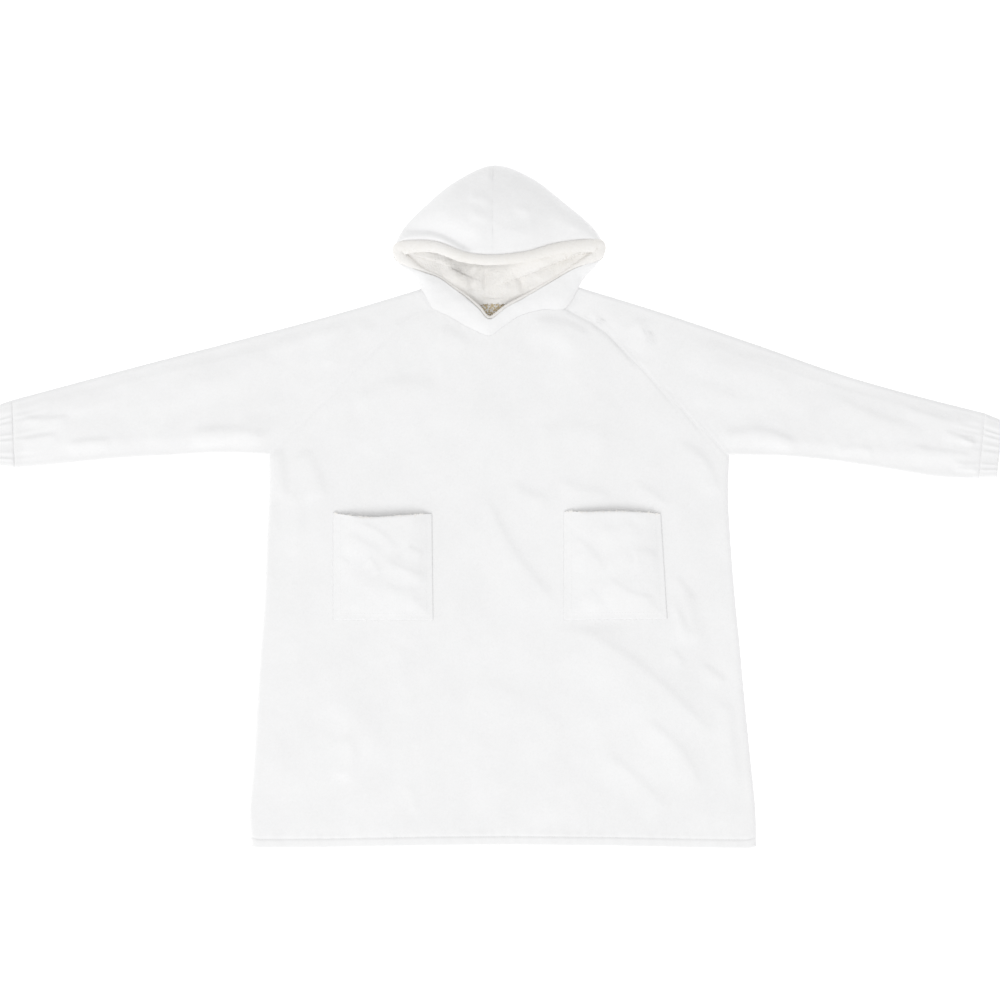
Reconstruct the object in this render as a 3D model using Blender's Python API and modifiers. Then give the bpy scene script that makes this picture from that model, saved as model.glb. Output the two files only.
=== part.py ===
"""Wearable blanket hoodie laid flat on a surface, front up, sleeves spread.

Metres. +X is the wearer's left, +Y runs toward the hood, +Z is up, z = 0 is the
surface it lies on. Each panel is a piece of its own, SEAM_GAP away from the next.
"""

import bpy
import numpy as np

NAME = "blanket_hoodie"

# Cloth
CLOTH = 0.007  # flannel fleece on sherpa: body and sleeves
POCKET_CLOTH = 0.006
HOOD_CLOTH = 0.003  # outer cloth of the hood
LINING_CLOTH = 0.0035
SEAM_GAP = 0.0003
CENTRE_SEAM_GAP = 0.0008  # down the hood, whose halves lean together there
HOOD_GAP = 0.00042  # from the hood to the rim, the body and the sleeves
EDGE_THINNING = 0.45  # share of the cloth's thickness left at a rounded edge
HOOD_THINNING = 0.2  # the same share at the hood's centre seam
SEAM_PULL = 0.002  # how far a seam draws the upper face down

# Heights of the layers above the surface
FRONT_BOTTOM = CLOTH + SEAM_GAP
FRONT_TOP = FRONT_BOTTOM + CLOTH
MID_HEIGHT = FRONT_TOP / 2
SLIT = 0.00015  # half the space between the layers of a flattened tube

# Raglan seam from the neck to the underarm: x, y
RAGLAN = (
    (0.112, 0.338),
    (0.172, 0.304),
    (0.223, 0.255),
    (0.270, 0.206),
    (0.338, 0.138),
    (0.392, 0.087),
)

# Body below the underarm: y, half width, lean of the centre line
BODY_SIDE = (
    (0.087, 0.392, 0.000),
    (0.020, 0.391, -0.001),
    (-0.060, 0.395, -0.001),
    (-0.150, 0.400, 0.001),
    (-0.240, 0.408, 0.002),
    (-0.330, 0.415, 0.003),
    (-0.430, 0.423, 0.005),
    (-0.530, 0.431, 0.006),
    (-0.574, 0.429, 0.008),
)

# Hem from the wearer's right corner to the left one: x, y
HEM = (
    (-0.421, -0.574),
    (-0.400, -0.580),
    (-0.290, -0.580),
    (-0.120, -0.577),
    (0.020, -0.576),
    (0.190, -0.578),
    (0.330, -0.581),
    (0.414, -0.582),
    (0.437, -0.574),
)
HEM_DEPTH = 0.017
HEM_RISE = 0.002
HEM_GROOVE = 0.002  # flat strip between the hem's stitching and its raised edge
RAGLAN_HEM_SHARE = 0.36  # share of the hem below each raglan seam

# Hood from the crown over the wearer's left side to the throat and back up the
# right side: outer edge x, y, rim centre x, y, height of the edge and of the rim
HOOD = (
    (-0.010, 0.581, -0.010, 0.425, 0.016, 0.056),
    (0.053, 0.561, 0.039, 0.433, 0.017, 0.053),
    (0.114, 0.515, 0.090, 0.447, 0.017, 0.043),
    (0.162, 0.473, 0.138, 0.452, 0.016, 0.033),
    (0.178, 0.439, 0.163, 0.438, 0.015, 0.028),
    (0.168, 0.413, 0.152, 0.415, 0.013, 0.027),
    (0.146, 0.391, 0.131, 0.395, 0.010, 0.027),
    (0.136, 0.374, 0.116, 0.378, 0.007, 0.027),
    (0.112, 0.338, 0.093, 0.359, 0.008, 0.027),
    (0.073, 0.335, 0.064, 0.350, 0.008, 0.026),
    (0.036, 0.325, 0.038, 0.3435, 0.008, 0.026),
    (0.007, 0.306, 0.012, 0.3265, 0.008, 0.025),
    (-0.015, 0.291, -0.014, 0.3095, 0.008, 0.024),
    (-0.037, 0.298, -0.037, 0.317, 0.008, 0.025),
    (-0.060, 0.309, -0.054, 0.330, 0.008, 0.026),
    (-0.087, 0.325, -0.075, 0.346, 0.008, 0.026),
    (-0.112, 0.338, -0.097, 0.361, 0.008, 0.027),
    (-0.133, 0.371, -0.115, 0.380, 0.007, 0.027),
    (-0.145, 0.389, -0.132, 0.397, 0.010, 0.027),
    (-0.170, 0.411, -0.155, 0.415, 0.013, 0.027),
    (-0.178, 0.438, -0.163, 0.436, 0.015, 0.029),
    (-0.162, 0.474, -0.141, 0.450, 0.016, 0.036),
    (-0.120, 0.517, -0.100, 0.445, 0.017, 0.045),
    (-0.073, 0.554, -0.052, 0.430, 0.017, 0.053),
)
SHOULDER_STATION = 7
NECK_STATION = 8
THROAT_STATION = 12
CROWN_BULGE = 0.006
CROWN_SPAN = 0.1  # distance from rim to edge at which the crown bulges fully
CROWN_ROUNDNESS = 2.4
NAPE = (-0.010, 0.357)
NECK_DIP = (0.060, -0.004)  # lowest point of the back neck beside the nape: x, y
CROWN_SEAM_TOP = (-0.010, 0.556)

# Rolled sherpa edge of the face opening
RIM_WIDTH = 0.017
RIM_HEIGHT = 0.015

# Sleeves from the shoulder to the cuff: top edge x, y, bottom edge x, y
SLEEVE_LEFT = (
    (0.136, 0.374, 0.392, 0.087),
    (0.257, 0.337, 0.469, 0.087),
    (0.427, 0.280, 0.554, 0.080),
    (0.597, 0.221, 0.660, 0.065),
    (0.730, 0.184, 0.750, 0.051),
    (0.826, 0.160, 0.816, 0.048),
)
SLEEVE_RIGHT = (
    (-0.133, 0.371, -0.392, 0.087),
    (-0.253, 0.335, -0.466, 0.092),
    (-0.423, 0.289, -0.551, 0.088),
    (-0.593, 0.245, -0.655, 0.082),
    (-0.735, 0.207, -0.745, 0.073),
    (-0.828, 0.182, -0.824, 0.066),
)
CUFF_END_LEFT = (0.858, 0.147, 0.847, 0.049)
CUFF_END_RIGHT = (-0.858, 0.172, -0.852, 0.068)
CUFF_GATHERS = 7
CUFF_GATHER_RISE = 0.0012
SLEEVE_GATHERS = 3
SLEEVE_GATHER_RISE = 0.002
SLEEVE_GATHER_REACH = 0.12
CUFF_SEAM_REACH = 0.02  # gathers flatten over this distance toward the cuff seam
SLEEVE_EDGE_SHARE = 0.1  # share of the width over which a sleeve's folds die out

# Pockets: corners at the mouth and at the foot, inner then outer, x, y
POCKET_LEFT = ((0.110, -0.008), (0.275, -0.012), (0.110, -0.192), (0.286, -0.190))
POCKET_RIGHT = ((-0.114, -0.012), (-0.282, -0.010), (-0.112, -0.192), (-0.282, -0.192))
MOUTH_LIFT = 0.013
MOUTH_SAG = 0.011
POCKET_PUFF = 0.002
MOUTH_ROUNDNESS = 0.7
MOUTH_FADE = 1.7
MOUTH_WEIGHT = 0.6
POCKET_EDGE_SHARE = 0.045

# Soft folds that stand up from the front: start x, y, middle x, y, end x, y,
# height, half width
FRONT_FOLDS = (
    (-0.034, 0.003, 0.026, -0.110, 0.084, -0.182, 0.006, 0.022),
    (0.122, -0.212, 0.248, -0.290, 0.357, -0.405, 0.006, 0.024),
    (0.231, -0.365, 0.300, -0.420, 0.333, -0.495, 0.005, 0.020),
    (0.312, -0.140, 0.326, -0.190, 0.334, -0.240, 0.004, 0.016),
    (0.040, 0.290, 0.085, 0.296, 0.150, 0.262, 0.005, 0.018),
    (-0.300, -0.300, -0.240, -0.370, -0.200, -0.450, 0.004, 0.030),
    (-0.150, 0.180, -0.060, 0.150, 0.050, 0.165, 0.003, 0.035),
)
FOLD_FADE = 0.035  # folds die out over this distance from a seam or pocket
FOLD_TAPER = 0.3  # share of a fold's length over which each end rises

# Sleeve folds: start x, y, middle x, y, end x, y, height, half width
SLEEVE_FOLDS = (
    (0.350, 0.125, 0.400, 0.128, 0.450, 0.150, 0.005, 0.016),
    (0.300, 0.280, 0.400, 0.235, 0.520, 0.190, 0.003, 0.025),
    (-0.350, 0.125, -0.400, 0.128, -0.450, 0.150, 0.005, 0.016),
    (-0.320, 0.270, -0.430, 0.240, -0.560, 0.170, 0.003, 0.025),
)

# Lining seen in the face opening, neck edge and top edge: x, y
LINING_NECK = ((-0.098, 0.352), (-0.050, 0.358), (-0.010, 0.359), (0.050, 0.358), (0.098, 0.352))
LINING_TOP = ((-0.142, 0.452), (-0.080, 0.478), (0.000, 0.488), (0.080, 0.478), (0.142, 0.452))
LINING_SIDE = ((0.098, 0.352), (0.118, 0.388), (0.145, 0.420), (0.142, 0.452))
LINING_RISE = 0.007  # toward the wearer's left of the face
LINING_RISE_X = (0.02, 0.115)
LINING_RISE_Y = (0.36, 0.475)
LINING_RISE_START = 0.05
LINING_RISE_END = 0.03

# Mesh counts
RAGLAN_CELLS = 10
NECK_CELLS = 10
BODY_ROWS = 22
BACK_ROWS = 8
SIDE_POINTS = 60
FOLD_POINTS = 9
EDGE_CELL = 0.0075
HEM_ROWS = (0.028, 0.021, HEM_DEPTH, 0.008, 0.0)
SLEEVE_STATIONS = (0.0, 0.014, 0.1, 0.2, 0.32, 0.45, 0.58, 0.7, 0.8, 0.88, 0.95, 0.986, 1.0)
CUFF_STATIONS = (0.0, 0.15, 0.5, 0.85, 1.0)
CUFF_CELLS = 28
HOOD_STEP = 0.5
RIM_PROBE = 0.25  # stations looked ahead and back for the rim's direction
CROWN_STEPS = (0.0, 0.12, 0.3, 0.5, 0.68, 0.83, 0.94, 0.99, 1.0)
FOLD_ANGLES = (30.0, 60.0, 90.0)
TUBE_ANGLES = (90.0, 45.0, 0.0, -45.0, -90.0)
RIM_SIDES = 10
POCKET_CELLS = 12
LINING_CELLS = 12

SHELL_COLOUR = (0.90, 0.90, 0.90, 1.0)
SHERPA_COLOUR = (0.86, 0.84, 0.78, 1.0)
CLOTH_ROUGHNESS = 0.95


def smooth_line(points, at):
    """Points on a smooth line through a table, at shares of its length."""
    points = np.array(points, dtype=float)
    steps = np.linalg.norm(np.diff(points, axis=0), axis=1)
    reach = np.concatenate(([0.0], np.cumsum(steps)))
    slopes = np.gradient(points, reach, axis=0)
    distance = np.clip(np.asarray(at, dtype=float), 0.0, 1.0) * reach[-1]
    row = np.clip(np.searchsorted(reach, distance, side="right") - 1, 0, len(steps) - 1)
    t = ((distance - reach[row]) / steps[row])[:, None]
    span = steps[row][:, None]
    start = (2 * t**3 - 3 * t**2 + 1) * points[row] + (t**3 - 2 * t**2 + t) * span * slopes[row]
    end = (3 * t**2 - 2 * t**3) * points[row + 1] + (t**3 - t**2) * span * slopes[row + 1]
    return start + end


def straight_line(points, at):
    """Points on the straight pieces between table points, at shares of the length."""
    points = np.array(points, dtype=float)
    share = shares_of(points)
    return np.stack([np.interp(at, share, column) for column in points.T], axis=-1)


def shifted(points, distance):
    """A plan line moved sideways, to its left, by a distance."""
    points = np.array(points, dtype=float)
    along = np.diff(points, axis=0)
    along /= np.linalg.norm(along, axis=1)[:, None]
    before = np.vstack((along[:1], along))
    after = np.vstack((along, along[-1:]))
    mean = before + after
    mean /= np.linalg.norm(mean, axis=1)[:, None]
    left = np.stack((-mean[:, 1], mean[:, 0]), axis=-1)
    stretch = np.sum(mean * before, axis=1)[:, None]
    return points + left * distance / stretch


def length(line):
    return np.linalg.norm(np.diff(line, axis=0), axis=1).sum()


def shares_of(line):
    """Share of a line's length passed at each of its points."""
    reach = np.concatenate(([0.0], np.cumsum(np.linalg.norm(np.diff(line, axis=0), axis=1))))
    return reach / reach[-1]


def blended(start, end, first, last):
    """Plan grid between two facing lines and the two lines that join their ends.

    start and end run from the first line to the last one, row by row.
    """
    rows, columns = len(start), len(first)
    u = shares_of(last)[None, :, None]
    v = shares_of(start)[:, None, None]
    sides = (1 - u) * start[:, None, :] + u * end[:, None, :]
    ends = (1 - v) * first[None, :, :] + v * last[None, :, :]
    corners = (1 - v) * ((1 - u) * first[0] + u * first[-1]) + v * ((1 - u) * last[0] + u * last[-1])
    return (sides + ends - corners).reshape(rows, columns, 2)


def ease(value):
    value = np.clip(value, 0.0, 1.0)
    return value * value * (3 - 2 * value)


def line_distance(points, line):
    """Distance of each point from a plan line, and the share of the line beside it."""
    line = np.array(line, dtype=float)
    best = np.full(points.shape[:-1], np.inf)
    share = np.zeros(points.shape[:-1])
    total = length(line)
    passed = 0.0
    for a, b in zip(line[:-1], line[1:]):
        step = np.linalg.norm(b - a)
        t = np.clip(np.sum((points - a) * (b - a), axis=-1) / step**2, 0.0, 1.0)
        away = np.linalg.norm(points - a - t[..., None] * (b - a), axis=-1)
        nearer = away < best
        best = np.where(nearer, away, best)
        share = np.where(nearer, (passed + t * step) / total, share)
        passed += step
    return best, share


def fold_relief(points, folds):
    """Height that a table of soft folds adds at plan points."""
    relief = np.zeros(points.shape[:-1])
    for x0, y0, x1, y1, x2, y2, height, half_width in folds:
        line = smooth_line(((x0, y0), (x1, y1), (x2, y2)), np.linspace(0.0, 1.0, FOLD_POINTS))
        away, share = line_distance(points, line)
        taper = ease(share / FOLD_TAPER) * ease((1 - share) / FOLD_TAPER)
        relief += height * taper * np.exp(-((away / half_width) ** 2))
    return relief


def hood_station(station):
    """Outer edge, rim centre and both heights at stations round the hood."""
    rows = np.array(HOOD)
    station = np.asarray(station, dtype=float) % len(rows)
    row = np.floor(station).astype(int)
    t = (station - row)[:, None]
    before, here = rows[row - 1], rows[row]
    after, beyond = rows[(row + 1) % len(rows)], rows[(row + 2) % len(rows)]
    slope_here, slope_after = (after - before) / 2, (beyond - here) / 2
    values = (2 * t**3 - 3 * t**2 + 1) * here + (t**3 - 2 * t**2 + t) * slope_here
    values += (3 * t**2 - 2 * t**3) * after + (t**3 - t**2) * slope_after
    return values[:, 0:2], values[:, 2:4], values[:, 4], values[:, 5]


def rim_outward(stations):
    """Plan direction away from the face opening, square to the rim."""
    stations = np.asarray(stations, dtype=float)
    along = hood_station(stations + RIM_PROBE)[1] - hood_station(stations - RIM_PROBE)[1]
    along /= np.linalg.norm(along, axis=1)[:, None]
    return np.stack((-along[:, 1], along[:, 0]), axis=-1)


def side_stations(side, first, last):
    """Station numbers down one side of the hood; side is 1 for the wearer's left."""
    steps = np.arange(first, last + HOOD_STEP / 2, HOOD_STEP)
    return steps if side > 0 else (len(HOOD) - steps) % len(HOOD)


def mirrored(points):
    return np.array(points, dtype=float) * (-1.0, 1.0)


def raglan_line(side):
    """Raglan seam points from the neck to the underarm."""
    last = 1.0 - EDGE_CELL / length(np.array(RAGLAN))
    line = smooth_line(RAGLAN, np.append(np.linspace(0.0, last, RAGLAN_CELLS), 1.0))
    return line if side > 0 else mirrored(line)


def body_side(side, count):
    rows = np.array(BODY_SIDE)
    line = np.stack((side * rows[:, 1] + rows[:, 2], rows[:, 0]), axis=-1)
    return smooth_line(line, np.linspace(0.0, 1.0, count))


def body_plan(neck, rows):
    """Plan grid of a body panel, its first row along the raglans and the neck."""
    left, right = raglan_line(1), raglan_line(-1)
    top = np.vstack((right[::-1], neck[1:-1], left))
    raglan_share = shares_of(left)
    neck_share = np.linspace(RAGLAN_HEM_SHARE, 1 - RAGLAN_HEM_SHARE, len(neck))
    right_share = RAGLAN_HEM_SHARE * (1 - raglan_share[::-1])
    share = np.concatenate((right_share, neck_share[1:-1], 1 - right_share[::-1]))
    hem = smooth_line(HEM, share)
    dense = blended(body_side(-1, SIDE_POINTS), body_side(1, SIDE_POINTS), top, hem)
    grid = np.empty((rows + 1 + len(HEM_ROWS), len(top), 2))
    for column in range(len(top)):
        total = length(dense[:, column])
        upper = np.linspace(EDGE_CELL, total - 2 * HEM_ROWS[0], rows)
        at = np.concatenate(([0.0], upper, total - np.array(HEM_ROWS))) / total
        grid[:, column] = straight_line(dense[:, column], at)
    return grid


def front_relief(grid):
    """Height of the front's folds and turned hem above its flat."""
    flat = ease(line_distance(grid, grid[0])[0] / FOLD_FADE)
    flat *= ease(line_distance(grid, grid[:, 0])[0] / FOLD_FADE)
    flat *= ease(line_distance(grid, grid[:, -1])[0] / FOLD_FADE)
    from_hem = line_distance(grid, grid[-1])[0]
    flat *= ease((from_hem - HEM_ROWS[0]) / FOLD_FADE)
    for inner, outer, inner_foot, outer_foot in (POCKET_LEFT, POCKET_RIGHT):
        corners = np.array((inner, outer, inner_foot, outer_foot))
        low, high = corners.min(axis=0), corners.max(axis=0)
        away = np.maximum(np.maximum(low - grid, grid - high), 0.0)
        flat *= ease((np.linalg.norm(away, axis=-1) - EDGE_CELL) / FOLD_FADE)
    hem = np.where(from_hem < HEM_DEPTH - HEM_GROOVE, HEM_RISE, 0.0)
    hem[:, [0, -1]] = 0.0
    return flat * fold_relief(grid, FRONT_FOLDS) + hem


def new_object(name, vertices, faces, colour):
    """A mesh object with a material of its own, in the garment's collection."""
    mesh = bpy.data.meshes.new(name)
    mesh.from_pydata([tuple(map(float, vertex)) for vertex in vertices], [], faces)
    mesh.shade_smooth()
    material = bpy.data.materials.new(name)
    material.use_nodes = True
    shader = material.node_tree.nodes["Principled BSDF"]
    shader.inputs["Base Color"].default_value = colour
    shader.inputs["Roughness"].default_value = CLOTH_ROUGHNESS
    mesh.materials.append(material)
    piece = bpy.data.objects.new(name, mesh)
    bpy.data.collections[NAME].objects.link(piece)
    return piece


def grid_faces(rows, columns, first=0):
    """Faces of a grid of points stored row by row, from a first point on."""
    faces = []
    for row in range(rows - 1):
        for column in range(columns - 1):
            corner = first + row * columns + column
            faces.append((corner, corner + columns, corner + columns + 1, corner + 1))
    return faces


def thickened(piece, thickness, offset, weights, thinning=EDGE_THINNING):
    """Gives an open surface its thickness; weights run from 0 at thin edges to 1."""
    group = piece.vertex_groups.new(name="thickness")
    for index, weight in enumerate(weights):
        group.add([index], float(weight), "REPLACE")
    solid = piece.modifiers.new("cloth", "SOLIDIFY")
    solid.thickness = thickness
    solid.offset = offset
    solid.vertex_group = group.name
    solid.thickness_vertex_group = thinning
    solid.use_even_offset = False
    return piece


def seam_weight(thickness):
    """Vertex weight that leaves the cloth SEAM_PULL thinner."""
    return 1 - SEAM_PULL / thickness / (1 - EDGE_THINNING)


def body_panel(name, plan, height, upward, colour):
    """A body panel, thin at its sides and hem; an upper one is drawn down at its seams."""
    weights = np.ones(plan.shape[:2])
    if upward:
        weights[0] = seam_weight(CLOTH)
    weights[:, [0, -1]] = 0.0
    weights[-1] = 0.0
    vertices = np.dstack((plan, height)).reshape(-1, 3)
    faces = grid_faces(*plan.shape[:2])
    if not upward:
        faces = [face[::-1] for face in faces]
    piece = new_object(name, vertices, faces, colour)
    return thickened(piece, CLOTH, 1.0, weights.ravel())


def build_body():
    stations = np.concatenate((
        side_stations(-1, NECK_STATION, THROAT_STATION),
        side_stations(1, NECK_STATION, THROAT_STATION)[::-1][1:],
    ))
    front_neck = hood_station(stations)[0]
    front = body_plan(front_neck, BODY_ROWS)
    body_panel("body_front", front, FRONT_BOTTOM + front_relief(front), True, SHELL_COLOUR)
    back_neck = np.vstack((back_neck_half(-1), back_neck_half(1)[::-1][1:]))
    back = body_plan(back_neck, BACK_ROWS)
    body_panel("body_back", back, np.full(back.shape[:2], CLOTH), False, SHELL_COLOUR)


def back_neck_half(side):
    """Neck edge of the back panel from the raglan to the nape."""
    end = np.array(RAGLAN[0]) * (side, 1.0)
    dip = np.array(NAPE) + np.array(NECK_DIP) * (side, 1.0)
    return smooth_line((end, dip, NAPE), np.linspace(0.0, 1.0, NECK_CELLS // 2 + 1))


def tube_rings(lines, shares, rise, upper_pull):
    """Outer and inner rings of a flattened tube, one pair for each plan line.

    Each line runs from the tube's top edge to its bottom edge. Its points between the
    rounded edges sit at the given shares.
    """
    outer, inner = [], []
    round_angles = np.radians(TUBE_ANGLES)
    for line, lift, pull in zip(lines, rise, upper_pull):
        total = length(line)
        flat = (MID_HEIGHT + shares * (total - 2 * MID_HEIGHT)) / total
        across = straight_line(line, flat)
        top_height = FRONT_TOP + lift - pull
        inset = MID_HEIGHT * (1 - np.cos(round_angles))
        swing = np.sin(round_angles)
        first = straight_line(line, inset / total)
        last = straight_line(line, 1 - inset / total)
        upper_half = np.clip(swing, 0.0, 1.0)
        lower_half = np.clip(swing, -1.0, 0.0)

        def edge_heights(top):
            return MID_HEIGHT + upper_half * (top - MID_HEIGHT) + lower_half * MID_HEIGHT

        upper = np.column_stack((across[1:-1], top_height[1:-1]))
        far = np.column_stack((last, edge_heights(top_height[-1])))
        lower = np.column_stack((across[1:-1], np.zeros(len(across) - 2)))[::-1]
        near = np.column_stack((first, edge_heights(top_height[0])))[::-1]
        outer.append(np.vstack((upper, far, lower, near)))
        slit_first = straight_line(line, (MID_HEIGHT - SLIT * np.cos(round_angles)) / total)
        slit_last = straight_line(line, 1 - (MID_HEIGHT - SLIT * np.cos(round_angles)) / total)
        slit_height = MID_HEIGHT + SLIT * swing
        upper = np.column_stack((across[1:-1], np.full(len(across) - 2, MID_HEIGHT + SLIT)))
        far = np.column_stack((slit_last, slit_height))
        lower = np.column_stack((across[1:-1], np.full(len(across) - 2, MID_HEIGHT - SLIT)))[::-1]
        near = np.column_stack((slit_first, slit_height))[::-1]
        inner.append(np.vstack((upper, far, lower, near)))
    return np.array(outer), np.array(inner)


def tube_solid(name, outer, inner, side, colour):
    """Closed solid between an outer and an inner loft."""
    rings, points = outer.shape[:2]
    vertices = np.vstack((outer.reshape(-1, 3), inner.reshape(-1, 3)))
    base = rings * points
    faces = []
    for i in range(points):
        j = (i + 1) % points
        for ring in range(rings - 1):
            a, b = ring * points, (ring + 1) * points
            faces.append((a + i, b + i, b + j, a + j))
            faces.append((base + a + i, base + a + j, base + b + j, base + b + i))
        end = (rings - 1) * points
        faces.append((i, j, base + j, base + i))
        faces.append((end + j, end + i, base + end + i, base + end + j))
    if side > 0:
        faces = [face[::-1] for face in faces]
    return new_object(name, vertices, faces, colour)


def build_sleeve(name, side, table, cuff_end):
    """A sleeve from the neck and raglan seams to the cuff seam, and its cuff."""
    neck = hood_station(side_stations(side, SHOULDER_STATION, NECK_STATION))[0]
    seam = np.vstack((neck, raglan_line(side)[1:]))
    seam = shifted(seam, side * SEAM_GAP)
    rows = np.array(table)
    top_rows, bottom_rows = rows[:, 0:2].copy(), rows[:, 2:4].copy()
    top_rows[0], bottom_rows[0] = seam[0], seam[-1]
    stations = np.array(SLEEVE_STATIONS)
    top = smooth_line(top_rows, stations)
    bottom = smooth_line(bottom_rows, stations)
    columns = shares_of(seam)
    cuff = top[-1] + columns[:, None] * (bottom[-1] - top[-1])
    grid = blended(seam, cuff, top, bottom).transpose(1, 0, 2)
    total = length(seam)
    shares = np.concatenate(([0.0], (columns[1:-1] * total - MID_HEIGHT) / (total - 2 * MID_HEIGHT), [1.0]))
    shares = np.unique(np.clip(shares, 0.0, 1.0))
    rise = []
    for line, station in zip(grid, stations):
        at = (MID_HEIGHT + shares * (length(line) - 2 * MID_HEIGHT)) / length(line)
        points = straight_line(line, at)
        from_cuff = (1 - station) * length(top)
        gather = ease(1 - from_cuff / SLEEVE_GATHER_REACH) * ease(from_cuff / CUFF_SEAM_REACH)
        waves = (1 - np.cos(2 * np.pi * SLEEVE_GATHERS * shares)) / 2
        fade = ease(line_distance(points, seam)[0] / FOLD_FADE)
        fade *= ease(shares / SLEEVE_EDGE_SHARE) * ease((1 - shares) / SLEEVE_EDGE_SHARE)
        rise.append(fade * fold_relief(points, SLEEVE_FOLDS) + SLEEVE_GATHER_RISE * gather * waves)
    pull = np.zeros(len(stations))
    pull[[0, -1]] = SEAM_PULL
    outer, inner = tube_rings(grid, shares, rise, pull)
    tube_solid(f"sleeve_{name}", outer, inner, side, SHELL_COLOUR)

    end = np.array(cuff_end).reshape(2, 2)
    start = grid[-1][[0, -1]]
    away = (end - start).mean(axis=0)
    start = start + away / np.linalg.norm(away) * SEAM_GAP
    cuff_shares = np.linspace(0.0, 1.0, CUFF_CELLS + 1)
    stations = np.array(CUFF_STATIONS)
    lines = start + stations[:, None, None] * (end - start)
    waves = (1 - np.cos(2 * np.pi * CUFF_GATHERS * cuff_shares)) / 2
    rise = [CUFF_GATHER_RISE * waves] * len(stations)
    pull = np.where((stations == 0.0) | (stations == 1.0), SEAM_PULL, 0.0)
    outer, inner = tube_rings(lines, cuff_shares, rise, pull)
    tube_solid(f"cuff_{name}", outer, inner, side, SHELL_COLOUR)


def build_hood_half(name, side):
    """Outer hood half: crown and lips from the rim to the edge, base below it.

    The crown part has a row for each station. Rows down to the shoulder go on round
    the folded edge and under, to the centre seam.
    """
    stations = side_stations(side, 0, THROAT_STATION)
    edge, rim, edge_height, rim_height = hood_station(stations)
    neck_rows = int(SHOULDER_STATION / HOOD_STEP)
    inward = rim - edge
    inward /= np.linalg.norm(inward, axis=1)[:, None]
    edge = edge + inward * np.where(np.arange(len(edge)) < neck_rows, 0.0, HOOD_GAP)[:, None]
    start = rim + rim_outward(stations) * (RIM_WIDTH / 2 + HOOD_GAP)
    half_gap = side * CENTRE_SEAM_GAP / 2
    start[[0, -1], 0] += half_gap
    edge[[0, -1], 0] += half_gap
    steps = np.array(CROWN_STEPS)
    crown = start[:, None] + steps[:, None] * (edge - start)[:, None]
    span = np.linalg.norm(edge - start, axis=1)
    bulge = CROWN_BULGE * ease(span / CROWN_SPAN)[:, None] * np.sin(np.pi * steps)
    fall = np.sqrt(1 - steps**CROWN_ROUNDNESS)
    height = edge_height[:, None] + (rim_height - edge_height)[:, None] * fall + bulge
    crown = np.dstack((crown, height))

    edge = edge[: neck_rows + 1]
    edge_height = edge_height[: neck_rows + 1]
    seam_top = np.array(CROWN_SEAM_TOP) + (half_gap, 0.0)
    nape = np.array(NAPE) + (half_gap, HOOD_GAP)
    share = np.linspace(0.0, 1.0, neck_rows + 1)[:, None]
    seam = seam_top + share * (nape - seam_top)
    neck = hood_station(side_stations(side, SHOULDER_STATION, NECK_STATION))[0]
    last = np.vstack((neck, back_neck_half(side)[1:]))
    last = shifted(last, -side * HOOD_GAP)
    last[0], last[-1] = edge[-1], nape
    first = straight_line((edge[0], seam_top), shares_of(last))
    plan = blended(edge, seam, first, last)
    angles = np.radians(FOLD_ANGLES)
    radius = edge_height[-1] / length(last)
    steps = (shares_of(last)[1:] - radius) / (1 - radius)
    base = []
    for line, radius in zip(plan, edge_height):
        total = length(line)
        fold = radius * (1 - np.cos(angles)) / total
        flat = (radius + steps * (total - radius)) / total
        points = straight_line(line, np.concatenate((fold, flat)))
        down = np.concatenate((radius * (1 - np.sin(angles)), np.zeros(len(flat))))
        base.append(np.column_stack((points, down)))
    base = np.array(base)

    rows, columns = crown.shape[:2]
    vertices = np.vstack((crown.reshape(-1, 3), base.reshape(-1, 3)))
    faces = grid_faces(rows, columns)
    width = base.shape[1]
    offset = rows * columns
    for row in range(neck_rows):
        here, below = row * columns + columns - 1, (row + 1) * columns + columns - 1
        faces.append((here, below, offset + (row + 1) * width, offset + row * width))
    faces += grid_faces(neck_rows + 1, width, offset)
    if side < 0:
        faces = [face[::-1] for face in faces]
    weights = np.ones(len(vertices))
    weights[:columns] = 0.0
    weights[offset : offset + width] = 0.0
    weights[offset + width - 1 :: width] = 0.0
    weights[(rows - 1) * columns : offset] = 0.0
    piece = new_object(f"hood_{name}", vertices, faces, SHELL_COLOUR)
    thickened(piece, HOOD_CLOTH, -1.0, weights, HOOD_THINNING)


def build_rim():
    """Rolled sherpa edge: an oval tube round the face opening."""
    stations = np.arange(0.0, len(HOOD), HOOD_STEP)
    _, centre, _, height = hood_station(stations)
    angles = np.arange(RIM_SIDES) * 2 * np.pi / RIM_SIDES
    plan = centre[:, None] + rim_outward(stations)[:, None] * (RIM_WIDTH / 2 * np.cos(angles))[None, :, None]
    tube = np.dstack((plan, height[:, None] + RIM_HEIGHT / 2 * np.sin(angles)))
    rings = len(stations)
    faces = []
    for ring in range(rings):
        a, b = ring * RIM_SIDES, (ring + 1) % rings * RIM_SIDES
        for i in range(RIM_SIDES):
            j = (i + 1) % RIM_SIDES
            faces.append((a + i, a + j, b + j, b + i))
    new_object("hood_rim", tube.reshape(-1, 3), faces, SHERPA_COLOUR)


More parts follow.
